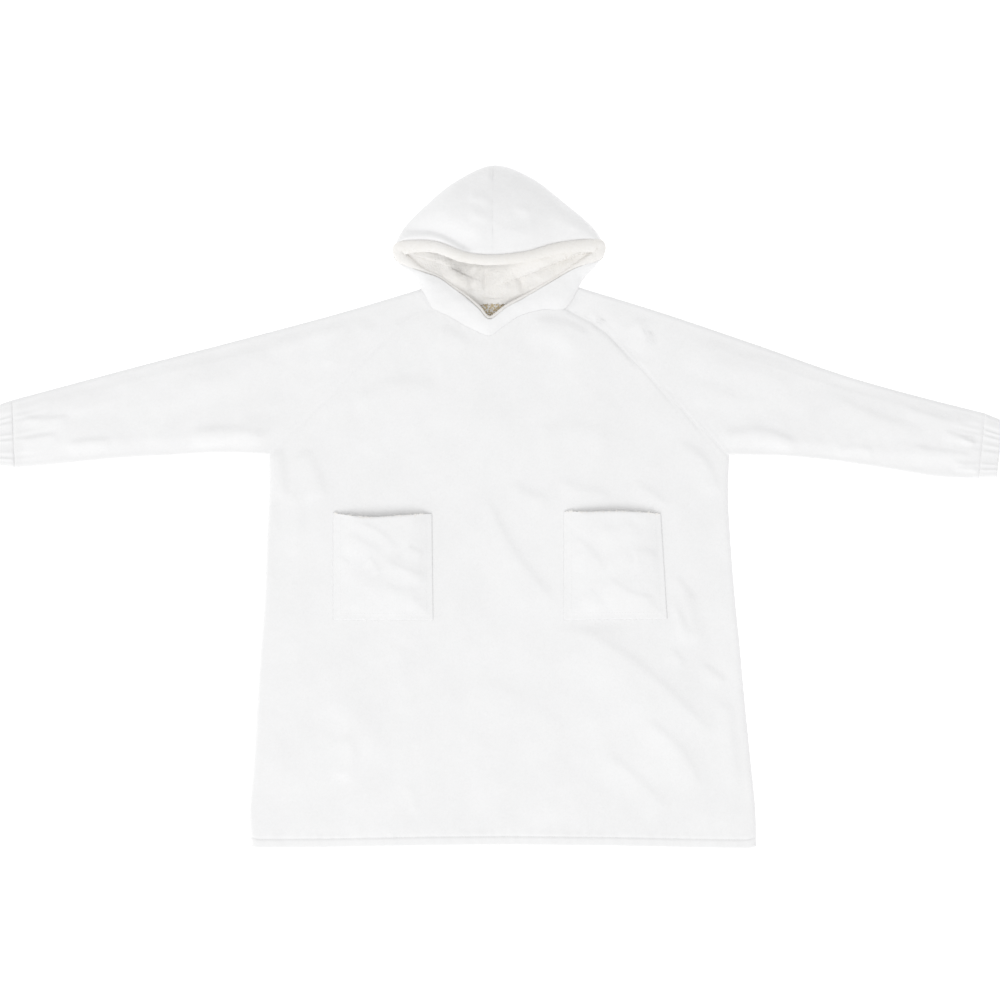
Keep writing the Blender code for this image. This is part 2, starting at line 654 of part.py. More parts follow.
def build_lining():
    """Sherpa lining on the hood's base, as far as the face opening shows it."""
    count = LINING_CELLS + 1
    share = np.linspace(0.0, 1.0, count)
    left = smooth_line(LINING_SIDE, share)
    plan = blended(mirrored(left), left, smooth_line(LINING_NECK, share), smooth_line(LINING_TOP, share))
    x, y = plan[..., 0], plan[..., 1]
    rise = LINING_RISE * ease((x - LINING_RISE_X[0]) / LINING_RISE_START)
    rise *= ease((LINING_RISE_X[1] - x) / LINING_RISE_END)
    rise *= ease((y - LINING_RISE_Y[0]) / LINING_RISE_END)
    rise *= ease((LINING_RISE_Y[1] - y) / LINING_RISE_END)
    height = HOOD_CLOTH + SEAM_GAP + rise
    faces = [face[::-1] for face in grid_faces(count, count)]
    vertices = np.dstack((plan, height)).reshape(-1, 3)
    piece = new_object("hood_lining", vertices, faces, SHERPA_COLOUR)
    thickened(piece, LINING_CLOTH, 1.0, np.ones(count * count))


def build_pocket(name, side, corners):
    """Patch pocket laid on the front, sewn on three sides, its mouth gaping."""
    inner, outer, inner_foot, outer_foot = np.array(corners)
    count = POCKET_CELLS + 1
    share = np.linspace(0.0, 1.0, count)
    share[1] = POCKET_EDGE_SHARE
    share[-2] = 1 - POCKET_EDGE_SHARE
    mouth = inner + share[:, None] * (outer - inner)
    mouth[:, 1] -= MOUTH_SAG * np.sin(np.pi * share)
    foot = inner_foot + share[:, None] * (outer_foot - inner_foot)
    down = share[:, None]
    plan = blended(inner + down * (inner_foot - inner), outer + down * (outer_foot - outer), mouth, foot)
    u = share[None, :]
    v = share[:, None]
    lift = MOUTH_LIFT * np.sin(np.pi * u) ** MOUTH_ROUNDNESS * (1 - v) ** MOUTH_FADE
    lift = lift + POCKET_PUFF * np.sin(np.pi * u) * np.sin(np.pi * v)
    height = FRONT_TOP + SEAM_GAP + lift
    faces = grid_faces(count, count)
    if side < 0:
        faces = [face[::-1] for face in faces]
    weights = np.ones((count, count))
    weights[:, [0, -1]] = 0.0
    weights[-1] = 0.0
    weights[0] = MOUTH_WEIGHT
    vertices = np.dstack((plan, height)).reshape(-1, 3)
    piece = new_object(f"pocket_{name}", vertices, faces, SHELL_COLOUR)
    thickened(piece, POCKET_CLOTH, 1.0, weights.ravel())


def main():
    for item in list(bpy.data.objects):
        bpy.data.objects.remove(item, do_unlink=True)
    collection = bpy.data.collections.new(NAME)
    bpy.context.scene.collection.children.link(collection)
    build_body()
    build_sleeve("left", 1, SLEEVE_LEFT, CUFF_END_LEFT)
    build_sleeve("right", -1, SLEEVE_RIGHT, CUFF_END_RIGHT)
    build_hood_half("left", 1)
    build_hood_half("right", -1)
    build_lining()
    build_rim()
    build_pocket("left", 1, POCKET_LEFT)
    build_pocket("right", -1, POCKET_RIGHT)


main()
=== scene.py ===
import bmesh
import bpy
import numpy as np
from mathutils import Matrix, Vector


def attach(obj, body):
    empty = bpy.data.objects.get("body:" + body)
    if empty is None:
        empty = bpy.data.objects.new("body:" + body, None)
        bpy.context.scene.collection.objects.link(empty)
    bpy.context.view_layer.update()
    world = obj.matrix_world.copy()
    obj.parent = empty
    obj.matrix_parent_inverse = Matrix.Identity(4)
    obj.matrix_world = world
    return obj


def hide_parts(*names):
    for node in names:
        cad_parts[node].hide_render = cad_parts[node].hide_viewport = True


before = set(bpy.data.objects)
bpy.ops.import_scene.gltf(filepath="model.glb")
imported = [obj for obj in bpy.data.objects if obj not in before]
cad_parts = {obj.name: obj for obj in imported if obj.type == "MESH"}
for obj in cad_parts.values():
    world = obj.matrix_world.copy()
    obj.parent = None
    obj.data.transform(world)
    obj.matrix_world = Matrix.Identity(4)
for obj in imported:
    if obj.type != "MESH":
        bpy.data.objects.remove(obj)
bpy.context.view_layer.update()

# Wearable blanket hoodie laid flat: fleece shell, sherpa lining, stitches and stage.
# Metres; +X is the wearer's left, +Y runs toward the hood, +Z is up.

bl_info = {
    "name": "Blanket hoodie",
    "version": (1, 0, 0),
    "blender": (4, 5, 0),
    "location": "3D Viewport > Sidebar > Hoodie",
    "description": "Builds a sherpa-lined fleece blanket hoodie laid flat",
    "category": "Add Mesh",
}

BODY = "root"
SEAM_GAP = 0.0003
SEWN_GAP = 0.00002  # between pieces sewn edge to edge
HAIR = 0.0002  # smallest height at a rounded edge, and lift of the hem's stitches
MM = 0.001
SHARP_ANGLE = np.radians(55.0)
FULL_TURN = 6.28

# Raglan seam from the neck to the underarm: x, y
RAGLAN = (
    (0.112, 0.338), (0.172, 0.304), (0.223, 0.255), (0.27, 0.206), (0.338, 0.138),
    (0.392, 0.087),
)
# How far from its seam a drawn-in seam reaches, and the sleeve's on the wearer's left
RAGLAN_DIP = 0.006
SLEEVE_DIP = 0.03
# Puckers beside the seams: waves along x and y, reach from the seam
PUCKER_PACE = (520, 410)
PUCKER_REACH = 0.022

# Body below the underarm: y, half width, lean of the centre line
BODY_SIDE = (
    (0.087, 0.392, 0.0), (0.02, 0.391, -0.001), (-0.06, 0.395, -0.001), (-0.15, 0.4, 0.001),
    (-0.24, 0.408, 0.002), (-0.33, 0.415, 0.003), (-0.43, 0.423, 0.005), (-0.53, 0.431, 0.006),
    (-0.5775, 0.4298, 0.0078),
)
# Shares of the hem that lie below the two ends of the neck
NECK_SHARES = (0.36, 0.64)

# Hem from the wearer's right corner to the left one: x, y
HEM = (
    (-0.422, -0.577), (-0.412, -0.5805), (-0.29, -0.58), (-0.12, -0.577), (0.02, -0.576),
    (0.19, -0.578), (0.33, -0.581), (0.426, -0.5825), (0.4375, -0.578),
)
HEM_DEPTH = 0.0165
HEM_ROUND = 0.0035
# Rows of a panel's grid near the hem and near the top seam: distance from it in mm
HEM_ROWS = (
    32, 28, 25, 22.5, 20.5, 19, 17.8, 16.9, 16.2, 15.5, 14.5, 13, 11, 9, 7, 5, 3.2, 1.8, 0.8,
    0.2, 0.0,
)
SEAM_ROWS = (
    0.0, 0.5, 1.2, 2.2, 3.6, 5.4,
)

# Hood from the crown over the wearer's left side to the throat and back up the
# right side: outer edge x, y and its height
HOOD = (
    (-0.01, 0.581, 0.016), (0.053, 0.561, 0.017), (0.114, 0.515, 0.017), (0.162, 0.473, 0.016),
    (0.178, 0.439, 0.015), (0.168, 0.413, 0.013), (0.146, 0.391, 0.01), (0.136, 0.374, 0.007),
    (0.112, 0.338, 0.008), (0.073, 0.335, 0.008), (0.036, 0.325, 0.008), (0.007, 0.306, 0.008),
    (-0.015, 0.291, 0.008), (-0.037, 0.298, 0.008), (-0.06, 0.309, 0.008),
    (-0.087, 0.325, 0.008), (-0.112, 0.338, 0.008), (-0.133, 0.371, 0.007),
    (-0.145, 0.389, 0.01), (-0.17, 0.411, 0.013), (-0.178, 0.438, 0.015),
    (-0.162, 0.474, 0.016), (-0.12, 0.517, 0.017), (-0.073, 0.554, 0.017),
)
STATION_CELLS = 14
SHOULDER_STATION = 7
NECK_STATION = 8
THROAT_STATION = 12
CROWN_BULGE = 0.006
LIP_EDGE_RISE = 0.0058
NAPE = (-0.010, 0.357)
CROWN_SEAM_TOP = (-0.010, 0.556)
HOOD_NECK_GAP = 1.4 * SEAM_GAP
THIN_EDGE = 0.2  # share of the cloth's thickness left at the hood's edges
RIM_HEIGHT = 0.015

# Face opening at the same stations: line where the shell ends x, y, z, half width of
# the sherpa roll, share of that by which the roll lies inside the line, drop below it
FACE = (
    (-0.012, 0.4268, 0.059, 0.0088, 0.95, 0.0035), (0.044, 0.4324, 0.056, 0.009, 0.95, 0.0035),
    (0.094, 0.4465, 0.0465, 0.0095, 0.95, 0.0035), (0.143, 0.4532, 0.036, 0.011, 0.9, 0.0035),
    (0.1745, 0.449, 0.029, 0.0125, 0.7, 0.002), (0.174, 0.425, 0.0265, 0.011, 0.8, 0.002),
    (0.15, 0.413, 0.027, 0.0068, 0.92, 0.0032), (0.125, 0.403, 0.0257, 0.0036, 0.95, 0.004),
    (0.098, 0.3875, 0.023, 0.0028, 0.9, 0.0042), (0.072, 0.372, 0.024, 0.0028, 0.9, 0.0042),
    (0.045, 0.356, 0.0245, 0.0028, 0.9, 0.0042), (0.013, 0.3385, 0.0245, 0.0028, 0.9, 0.0042),
    (-0.016, 0.319, 0.024, 0.0028, 0.9, 0.0042), (-0.036, 0.338, 0.0245, 0.0028, 0.9, 0.0042),
    (-0.056, 0.3555, 0.0245, 0.0028, 0.9, 0.0042), (-0.078, 0.3715, 0.024, 0.0028, 0.9, 0.0042),
    (-0.102, 0.389, 0.023, 0.0028, 0.9, 0.0042), (-0.128, 0.3985, 0.0257, 0.0036, 0.95, 0.004),
    (-0.15, 0.407, 0.027, 0.0068, 0.92, 0.0032), (-0.173, 0.421, 0.0265, 0.011, 0.8, 0.002),
    (-0.1755, 0.443, 0.0295, 0.0125, 0.7, 0.002), (-0.148, 0.452, 0.038, 0.011, 0.9, 0.0035),
    (-0.104, 0.449, 0.0475, 0.0095, 0.95, 0.0035),
    (-0.058, 0.4318, 0.0565, 0.009, 0.95, 0.0035),
)
# Share of the way to the roll that the lining climbs at each station, and how far
# it reads as a corner, where the climb is longer
LINING_CLIMB = (
    0.1, 0.8, 1, 1, 1, 1, 1, 1, 1, 1, 0.6, 0, 0, 0, 0.6, 1, 1, 1, 1, 1, 1, 1, 0.3, 0.0,
)
CORNER_SHARE = (
    0, 0, 0, 0.8, 1, 1, 0.8, 0.3, 0, 0, 0, 0, 0, 0, 0, 0, 0, 0.3, 0.8, 1, 1, 1, 0.3, 0,
)

# Sleeves from the shoulder to the cuff: top edge x, y, bottom edge x, y
SLEEVE_LEFT = (
    (0.136, 0.374, 0.392, 0.087), (0.257, 0.337, 0.469, 0.087), (0.427, 0.28, 0.554, 0.08),
    (0.597, 0.221, 0.66, 0.065), (0.73, 0.184, 0.75, 0.051), (0.826, 0.16, 0.816, 0.048),
)
SLEEVE_RIGHT = (
    (-0.133, 0.371, -0.392, 0.087), (-0.253, 0.335, -0.466, 0.092),
    (-0.423, 0.289, -0.551, 0.088), (-0.593, 0.245, -0.655, 0.082),
    (-0.735, 0.207, -0.745, 0.073), (-0.828, 0.182, -0.824, 0.066),
)
# Cuffs: end at the top edge x, y and at the bottom edge x, y
CUFF_END_LEFT = (0.858, 0.147, 0.847, 0.049)
CUFF_END_RIGHT = (-0.858, 0.172, -0.852, 0.068)
CUFF_GATHERS = 7
CUFF_STEPS = (
    0.0, 0.03, 0.08, 0.15, 0.23, 0.32, 0.42, 0.5, 0.58, 0.68, 0.77, 0.85, 0.92, 0.97, 1.0,
)
CUFF_SEAM_PULL = 0.0016
CUFF_END_PULL = 0.0042

# Pockets: corners at the mouth and at the foot, inner then outer, x, y
POCKET_LEFT = (
    (0.11, -0.008), (0.275, -0.012), (0.11, -0.192), (0.286, -0.19),
)
POCKET_RIGHT = (
    (-0.114, -0.012), (-0.282, -0.01), (-0.112, -0.192), (-0.282, -0.192),
)
MOUTH_LIFT = {"left": 0.006, "right": 0.008}
MOUTH_SAG = {"left": -0.0030, "right": 0.0058}
POCKET_PUFF = 0.002
STITCH_ROW = 7  # row of the pocket's grid that is sewn, from its sides and its foot

# Lining below the face opening: neck edge and top edge x, y
LINING_NECK = ((-0.028, 0.345), (-0.008, 0.346), (0.012, 0.345))
LINING_TOP = ((-0.080, 0.474), (0.000, 0.482), (0.080, 0.474))

# Soft folds and creases: start x, y, middle x, y, end x, y, height, half width
LINING_FOLDS = (
    (0.017, 0.402, 0.038, 0.384, 0.04, 0.356, -0.005, 0.006),
    (-0.022, 0.408, -0.024, 0.388, -0.026, 0.364, -0.0028, 0.003),
    (-0.04, 0.41, -0.047, 0.385, -0.046, 0.36, -0.003, 0.005),
    (0.0, 0.396, 0.01, 0.38, 0.012, 0.362, 0.003, 0.008),
    (-0.1, 0.425, -0.08, 0.405, -0.06, 0.38, 0.003, 0.01),
    (-0.036, 0.357, -0.008, 0.356, 0.02, 0.357, -0.0022, 0.0014),
    (0.08, 0.425, 0.075, 0.405, 0.06, 0.385, 0.003, 0.012),
)
FRONT_FOLDS = (
    (-0.034, 0.003, 0.026, -0.11, 0.084, -0.182, 0.003, 0.03),
    (0.08, -0.19, 0.24, -0.3, 0.38, -0.425, 0.006, 0.052),
    (0.231, -0.365, 0.3, -0.42, 0.333, -0.495, 0.0028, 0.026),
    (0.312, -0.14, 0.326, -0.19, 0.334, -0.24, 0.004, 0.016),
    (0.04, 0.29, 0.085, 0.296, 0.15, 0.262, 0.005, 0.018),
    (-0.3, -0.3, -0.24, -0.37, -0.2, -0.45, 0.004, 0.03),
    (-0.15, 0.18, -0.06, 0.15, 0.05, 0.165, 0.003, 0.035),
)
FRONT_CREASES = (
    (-0.03, 0.03, 0.02, -0.068, 0.104, -0.176, 0.0016, 0.008),
    (0.11, -0.19, 0.24, -0.272, 0.372, -0.396, 0.0018, 0.009),
    (0.245, -0.356, 0.312, -0.418, 0.346, -0.486, 0.0016, 0.008),
    (0.281, -0.126, 0.304, -0.176, 0.328, -0.228, 0.002, 0.007),
    (0.277, -0.135, 0.3, -0.178, 0.32, -0.236, 0.0028, 0.008),
    (0.3, -0.12, 0.316, -0.142, 0.33, -0.16, 0.0022, 0.008),
    (0.292, -0.242, 0.304, -0.256, 0.316, -0.27, 0.002, 0.007),
    (0.345, -0.268, 0.366, -0.284, 0.386, -0.3, 0.0022, 0.008),
    (0.02, 0.04, 0.052, 0.02, 0.084, 0.012, 0.0022, 0.01),
    (0.1, 0.045, 0.15, 0.026, 0.19, 0.022, 0.002, 0.009),
    (0.226, 0.038, 0.262, 0.02, 0.29, -0.01, 0.0022, 0.01),
    (-0.378, 0.105, -0.37, 0.06, -0.366, 0.01, 0.003, 0.01),
    (-0.33, 0.1, -0.31, 0.05, -0.3, 0.01, 0.0026, 0.014),
    (-0.345, 0.035, -0.34, -0.03, -0.352, -0.09, 0.0018, 0.012),
    (-0.265, -0.385, -0.25, -0.42, -0.262, -0.47, 0.003, 0.014),
    (-0.15, -0.47, -0.144, -0.5, -0.138, -0.52, 0.0016, 0.007),
    (-0.25, 0.17, -0.18, 0.205, -0.1, 0.2, 0.0026, 0.018),
    (0.06, 0.12, 0.13, 0.13, 0.2, 0.11, 0.0022, 0.02),
    (0.052, 0.318, 0.11, 0.312, 0.158, 0.29, 0.0035, 0.008),
    (-0.104, 0.3, -0.078, 0.292, -0.05, 0.27, 0.0025, 0.012),
    (0.3, 0.11, 0.345, 0.08, 0.372, 0.02, 0.003, 0.012),
    (0.18, -0.42, 0.23, -0.46, 0.29, -0.52, 0.0022, 0.012),
    (-0.06, -0.3, 0.03, -0.33, 0.13, -0.4, 0.0018, 0.026),
    (-0.18, -0.23, -0.16, -0.3, -0.15, -0.36, 0.0014, 0.02),
    (0.385, -0.32, 0.395, -0.4, 0.402, -0.48, 0.002, 0.01),
)
SLEEVE_FOLDS = (
    (0.35, 0.125, 0.4, 0.128, 0.45, 0.15, 0.002, 0.016),
    (0.3, 0.28, 0.4, 0.235, 0.52, 0.19, 0.003, 0.025),
    (-0.35, 0.125, -0.4, 0.128, -0.45, 0.15, 0.002, 0.016),
    (-0.32, 0.27, -0.43, 0.24, -0.56, 0.17, 0.003, 0.025),
)
SLEEVE_CREASES = (
    (0.15, 0.335, 0.162, 0.326, 0.174, 0.314, 0.002, 0.007),
    (0.232, 0.322, 0.246, 0.3, 0.258, 0.276, 0.0026, 0.009),
    (0.372, 0.119, 0.447, 0.127, 0.512, 0.104, 0.0036, 0.011),
    (0.57, 0.096, 0.605, 0.099, 0.64, 0.094, 0.0018, 0.009),
    (0.784, 0.118, 0.797, 0.112, 0.809, 0.108, 0.0022, 0.004),
    (0.56, 0.19, 0.64, 0.15, 0.72, 0.13, 0.0024, 0.014),
    (0.69, 0.165, 0.745, 0.15, 0.8, 0.14, 0.0022, 0.008),
    (0.7, 0.1, 0.755, 0.092, 0.806, 0.086, 0.0026, 0.009),
    (0.755, 0.128, 0.785, 0.118, 0.812, 0.116, 0.0026, 0.006),
    (0.772, 0.075, 0.795, 0.07, 0.812, 0.07, 0.0022, 0.006),
    (0.33, 0.205, 0.4, 0.18, 0.47, 0.176, 0.0018, 0.018),
    (-0.53, 0.124, -0.455, 0.129, -0.384, 0.117, 0.0034, 0.011),
    (-0.3, 0.235, -0.255, 0.29, -0.215, 0.318, 0.0024, 0.014),
    (-0.64, 0.19, -0.7, 0.17, -0.76, 0.165, 0.0022, 0.014),
    (-0.735, 0.105, -0.7, 0.11, -0.66, 0.112, 0.0026, 0.008),
    (-0.81, 0.15, -0.77, 0.148, -0.73, 0.152, 0.0026, 0.007),
    (-0.812, 0.11, -0.78, 0.118, -0.75, 0.122, 0.0024, 0.006),
    (-0.48, 0.23, -0.54, 0.19, -0.59, 0.15, 0.0018, 0.02),
    (-0.25, 0.305, -0.33, 0.285, -0.4, 0.262, 0.0016, 0.016),
)
POCKET_CREASES = (
    (-0.238, -0.028, -0.205, -0.045, -0.172, -0.075, 0.0021, 0.0105),
    (-0.158, -0.068, -0.143, -0.076, -0.128, -0.083, 0.0019, 0.009),
    (-0.272, -0.084, -0.262, -0.094, -0.254, -0.098, 0.0012, 0.0075),
    (-0.224, -0.086, -0.212, -0.1, -0.204, -0.114, 0.0016, 0.009),
    (-0.194, -0.094, -0.16, -0.108, -0.124, -0.122, 0.0019, 0.0105),
    (-0.198, -0.136, -0.172, -0.142, -0.138, -0.144, 0.0011, 0.009),
    (-0.262, -0.05, -0.232, -0.062, -0.2, -0.084, 0.0014, 0.0135),
    (0.125, -0.05, 0.158, -0.082, 0.18, -0.118, 0.0021, 0.012),
    (0.182, -0.12, 0.218, -0.146, 0.268, -0.16, 0.0017, 0.0105),
    (0.226, -0.082, 0.252, -0.078, 0.268, -0.09, 0.0016, 0.0105),
    (0.14, -0.034, 0.185, -0.04, 0.24, -0.036, 0.0011, 0.015),
    (0.15, -0.14, 0.166, -0.158, 0.176, -0.172, 0.0009, 0.0105),
)
CROWN_CREASES = (
    (-0.055, 0.53, -0.03, 0.522, -0.012, 0.52, 0.003, 0.008),
    (-0.052, 0.5, -0.034, 0.494, -0.016, 0.482, 0.0025, 0.009),
    (0.024, 0.506, 0.04, 0.504, 0.058, 0.496, 0.0025, 0.009),
    (-0.034, 0.566, -0.02, 0.562, -0.004, 0.566, 0.003, 0.007),
    (0.0, 0.566, 0.014, 0.562, 0.03, 0.564, 0.003, 0.006),
    (0.085, 0.525, 0.115, 0.49, 0.14, 0.466, 0.003, 0.016),
    (-0.13, 0.5, -0.085, 0.525, -0.05, 0.548, 0.0024, 0.014),
    (0.0, 0.462, 0.04, 0.466, 0.08, 0.47, 0.002, 0.016),
)
ROLL_CREASES = (
    (-0.036, 0.431, -0.112, 0.4692, -0.19, 0.4665, -0.0092, 0.0108),
)
# Distance over which folds and creases fade toward a seam; part of their line over
# which either end tapers; a crease's width on its steep and on its gentle side
FOLD_FADE = 0.035
CREASE_FADE = 0.012
FOLD_TAPER = 0.3
CREASE_TAPER = 0.18
STEEP_SIDE = 0.7
GENTLE_SIDE = 1.8
CREASE_LOOK = 0.02  # share of its line over which a crease's heading is measured

# Pile of the cloths: fibre scale, clump scale, clump share, depth, strength, sheen
FLANNEL_PILE = (900.0, 190.0, 0.55, 0.0011, 0.5, 0.15)
SHERPA_PILE = (1100.0, 260.0, 0.5, 0.0006, 0.15, 0.25)
THREAD_PILE = (2500.0, 1500.0, 0.5, 0.0002, 0.4, 0.1)
# Painted shade of the pile's low clumps, and golden-brown painted shade of the sherpa deep in the
# neck, where pile lights pile
FLANNEL_CLUMP_SHADE = (0.965, 0.965, 0.965)
SHERPA_CLUMP_SHADE = (0.975, 0.965, 0.94)
NECK_PAINTED_SHADE = (0.76, 0.64, 0.42)

# Sherpa tufts to a square metre, how deep they root, how far they lean, least and
# greatest size; stitches of hem and pockets
TUFTS = 110000.0
MOUTH_TUFTS = 60000.0
TUFT_ROOT = 0.55
TUFT_LEAN = 0.2
TUFT_SQUEEZE = ((1.0, 0.8, 0.26), (1.9, 1.4, 0.46))
UNIT_BALL = {"Radius": 1.0, "Subdivisions": 1}
STITCH = {"Pitch": 0.0045, "Stitch Length": 0.0034, "Thread Radius": 0.0004}

# Stage: floor, what the lamp aims at, and an overhead camera that sees 1.7 m
WHITE = (1.0, 1.0, 1.0, 1.0)
UNIT_CORNERS = ((-1, -1), (1, -1), (1, 1), (-1, 1))
FLOOR_REACH = 6.0
FLOOR_LEVEL = -0.0006
LAMP_AIM = (0.0, -0.1, 0.0)
SENSOR = 36.0
CAMERA_DISTANCE = 12.0
CAMERA_SEES = 1.7
CAMERA_PLACE = (0.0017, 0.0119, CAMERA_DISTANCE + 0.012)


# Shapes in plan

def even(count):
    return np.linspace(0.0, 1.0, count)


def steps_of(line):
    return np.linalg.norm(np.diff(line, axis=0), axis=1)


def length(line):
    return steps_of(line).sum()


def shares_of(line):
    """Share of a line's length passed at each of its points."""
    reach = np.concatenate(([0.0], np.cumsum(steps_of(line))))
    return reach / reach[-1]


def unit(vectors):
    return vectors / np.linalg.norm(vectors, axis=1)[:, None]


def turned_left(vectors):
    return np.stack((-vectors[:, 1], vectors[:, 0]), axis=-1)


def cubic(t):
    """Weights of a step's start, start slope, end and end slope at shares of it."""
    return 2 * t**3 - 3 * t**2 + 1, t**3 - 2 * t**2 + t, 3 * t**2 - 2 * t**3, t**3 - t**2


def smooth_line(points, at):
    """Points on a smooth line through a table, at shares of its length."""
    points = np.array(points, dtype=float)
    steps = steps_of(points)
    reach = np.concatenate(([0.0], np.cumsum(steps)))
    slopes = np.gradient(points, reach, axis=0)
    distance = np.clip(np.asarray(at, dtype=float), 0.0, 1.0) * reach[-1]
    row = np.clip(np.searchsorted(reach, distance, side="right") - 1, 0, len(steps) - 1)
    here, leave, there, arrive = cubic(((distance - reach[row]) / steps[row])[:, None])
    span = steps[row][:, None]
    start = here * points[row] + leave * span * slopes[row]
    end = there * points[row + 1] + arrive * span * slopes[row + 1]
    return start + end


def straight_line(points, at):
    """Points on the straight pieces between table points, at shares of the length."""
    points = np.array(points, dtype=float)
    share = shares_of(points)
    return np.stack([np.interp(at, share, column) for column in points.T], axis=-1)


def shifted(points, distance):
    """A plan line moved sideways, to its left, by a distance."""
    points = np.array(points, dtype=float)
    along = unit(np.diff(points, axis=0))
    before = np.vstack((along[:1], along))
    mean = unit(before + np.vstack((along, along[-1:])))
    return points + turned_left(mean) * distance / np.sum(mean * before, axis=1)[:, None]


def blended(start, end, first, last):
    """Plan grid between two facing lines and the two lines that join their ends."""
    u = shares_of(last)[None, :, None]
    v = shares_of(start)[:, None, None]
    sides = (1 - u) * start[:, None, :] + u * end[:, None, :]
    ends = (1 - v) * first[None, :, :] + v * last[None, :, :]
    first_mix = (1 - u) * first[0] + u * first[-1]
    last_mix = (1 - u) * last[0] + u * last[-1]
    return sides + ends - ((1 - v) * first_mix + v * last_mix)


def ease(value):
    value = np.clip(value, 0.0, 1.0)
    return value * value * (3 - 2 * value)


def both_ends(share, part):
    """Eases in and out over a part at either end of shares from 0 to 1."""
    return ease(share / part) * ease((1 - share) / part)


def bell(distance, width):
    return np.exp(-((distance / width) ** 2))


def round_off(distance, radius):
    """Height share of a rounded edge, 0 at the edge and 1 beyond the radius."""
    return np.sqrt(np.clip(1 - (1 - np.clip(distance / radius, 0.0, 1.0)) ** 2, 0.0, 1.0))


def line_distance(points, line):
    """Distance of each point from a plan line, and the share of the line beside it."""
    line = np.array(line, dtype=float)
    best = np.full(points.shape[:-1], np.inf)
    share = np.zeros(points.shape[:-1])
    total = length(line)
    passed = 0.0
    for a, b in zip(line[:-1], line[1:]):
        step = np.linalg.norm(b - a)
        t = np.clip(np.sum((points - a) * (b - a), axis=-1) / step**2, 0.0, 1.0)
        away = np.linalg.norm(points - a - t[..., None] * (b - a), axis=-1)
        nearer = away < best
        best = np.where(nearer, away, best)
        share = np.where(nearer, (passed + t * step) / total, share)
        passed += step
    return best, share


def bent_lines(table, count):
    """The line, height and half width of each row in a table of folds."""
    for row in table:
        yield smooth_line(np.reshape(row[:6], (3, 2)), even(count)), row[6], row[7]


def fold_relief(points, folds):
    """Height that a table of soft folds adds at plan points."""
    relief = np.zeros(points.shape[:-1])
    for line, height, half_width in bent_lines(folds, 9):
        away, share = line_distance(points, line)
        relief += height * both_ends(share, FOLD_TAPER) * bell(away, half_width)
    return relief


def creases(points, table):
    """Creases that are steep on the left of their line and gentle on its right."""
    relief = np.zeros(points.shape[:-1])
    for line, height, half_width in bent_lines(table, 13):
        away, share = line_distance(points, line)
        near, ahead, behind = (
            straight_line(line, np.clip(share + shift, 0, 1).ravel()).reshape(points.shape)
            for shift in (0.0, CREASE_LOOK, -CREASE_LOOK)
        )
        heading, offset = ahead - behind, points - near
        left = heading[..., 0] * offset[..., 1] - heading[..., 1] * offset[..., 0] > 0
        width = np.where(left, half_width * STEEP_SIDE, half_width * GENTLE_SIDE)
        relief += height * both_ends(share, CREASE_TAPER) * bell(away, width)
    return relief


def soft_waves(points, size, height, seed):
    """Gentle unevenness of laid cloth: a few crossing waves, never regular."""
    random = np.random.default_rng(seed)
    waves = np.zeros(points.shape[:-1])
    for _ in range(9):
        turn = random.uniform(0, 2 * np.pi)
        pace = 2 * np.pi / (size * random.uniform(0.7, 1.9))
        phase = random.uniform(0, 2 * np.pi)
        bend = random.uniform(-1.5, 1.5)
        along = points[..., 0] * np.cos(turn) + points[..., 1] * np.sin(turn)
        across = points[..., 1] * np.cos(turn) - points[..., 0] * np.sin(turn)
        waves += np.sin(along * pace + phase + bend * np.sin(across * pace * 0.6))
    return height * np.tanh(waves / 3)


def seam_pucker(points, from_seam, height):
    """Fine puckers beside a sewn seam."""
    waves = np.sin(points[..., 0] * PUCKER_PACE[0] + points[..., 1] * PUCKER_PACE[1])
    return height * waves * ease(1 - from_seam / PUCKER_REACH) * ease(from_seam / 0.003)


def closed_line(table, stations):
    """Rows of a closed table at stations round the hood, smoothly joined."""
    rows = np.array(table, dtype=float)
    station = np.asarray(stations, dtype=float) % len(rows)
    row = np.floor(station).astype(int)
    here, leave, there, arrive = cubic((station - row)[:, None])
    before, start = rows[row - 1], rows[row]
    end, beyond = rows[(row + 1) % len(rows)], rows[(row + 2) % len(rows)]
    values = here * start + leave * ((end - before) / 2)
    return values + there * end + arrive * ((beyond - start) / 2)


def hood_edge(stations):
    """Outer edge of the hood and its height at stations round it."""
    values = closed_line(HOOD, stations)
    return values[:, :2], values[:, 2]


def face_outward(stations):
    """Plan direction away from the face opening, square to the shell's edge."""
    stations = np.asarray(stations, dtype=float)
    ahead, behind = closed_line(FACE, stations + 0.4), closed_line(FACE, stations - 0.4)
    return turned_left(unit(ahead[:, :2] - behind[:, :2]))


def roll_line(stations):
    """Centre, height and half width of the sherpa roll."""
    face = closed_line(FACE, stations)
    inside = (face[:, 3] * face[:, 4])[:, None]
    return face[:, :2] - face_outward(stations) * inside, face[:, 2] - face[:, 5], face[:, 3]


def side_stations(side, first, last, step):
    """Station numbers down one side of the hood; side is 1 for the wearer's left."""
    steps = np.linspace(first, last, int(round((last - first) / step)) + 1)
    return steps if side > 0 else (len(HOOD) - steps) % len(HOOD)


def edge_shares(cells, rounded):
    """Shares from 0 to 1 that crowd toward a rounded edge at 1."""
    crowd = 1 - rounded * np.array((0.65, 0.40, 0.20, 0.07, 0.0))
    return np.concatenate((np.linspace(0.0, 1 - rounded, cells), crowd))


# Plain meshes

def put_object(name, data):
    """An object at the origin, linked to the scene."""
    item = bpy.data.objects.new(name, data)
    bpy.context.scene.collection.objects.link(item)
    return item


def new_mesh(name, vertices, edges, faces, materials=()):
    mesh = bpy.data.meshes.new(name)
    vertices = [tuple(map(float, vertex)) for vertex in vertices]
    mesh.from_pydata(vertices, edges, np.asarray(faces).tolist())
    for material in materials:
        mesh.materials.append(material)
    return mesh


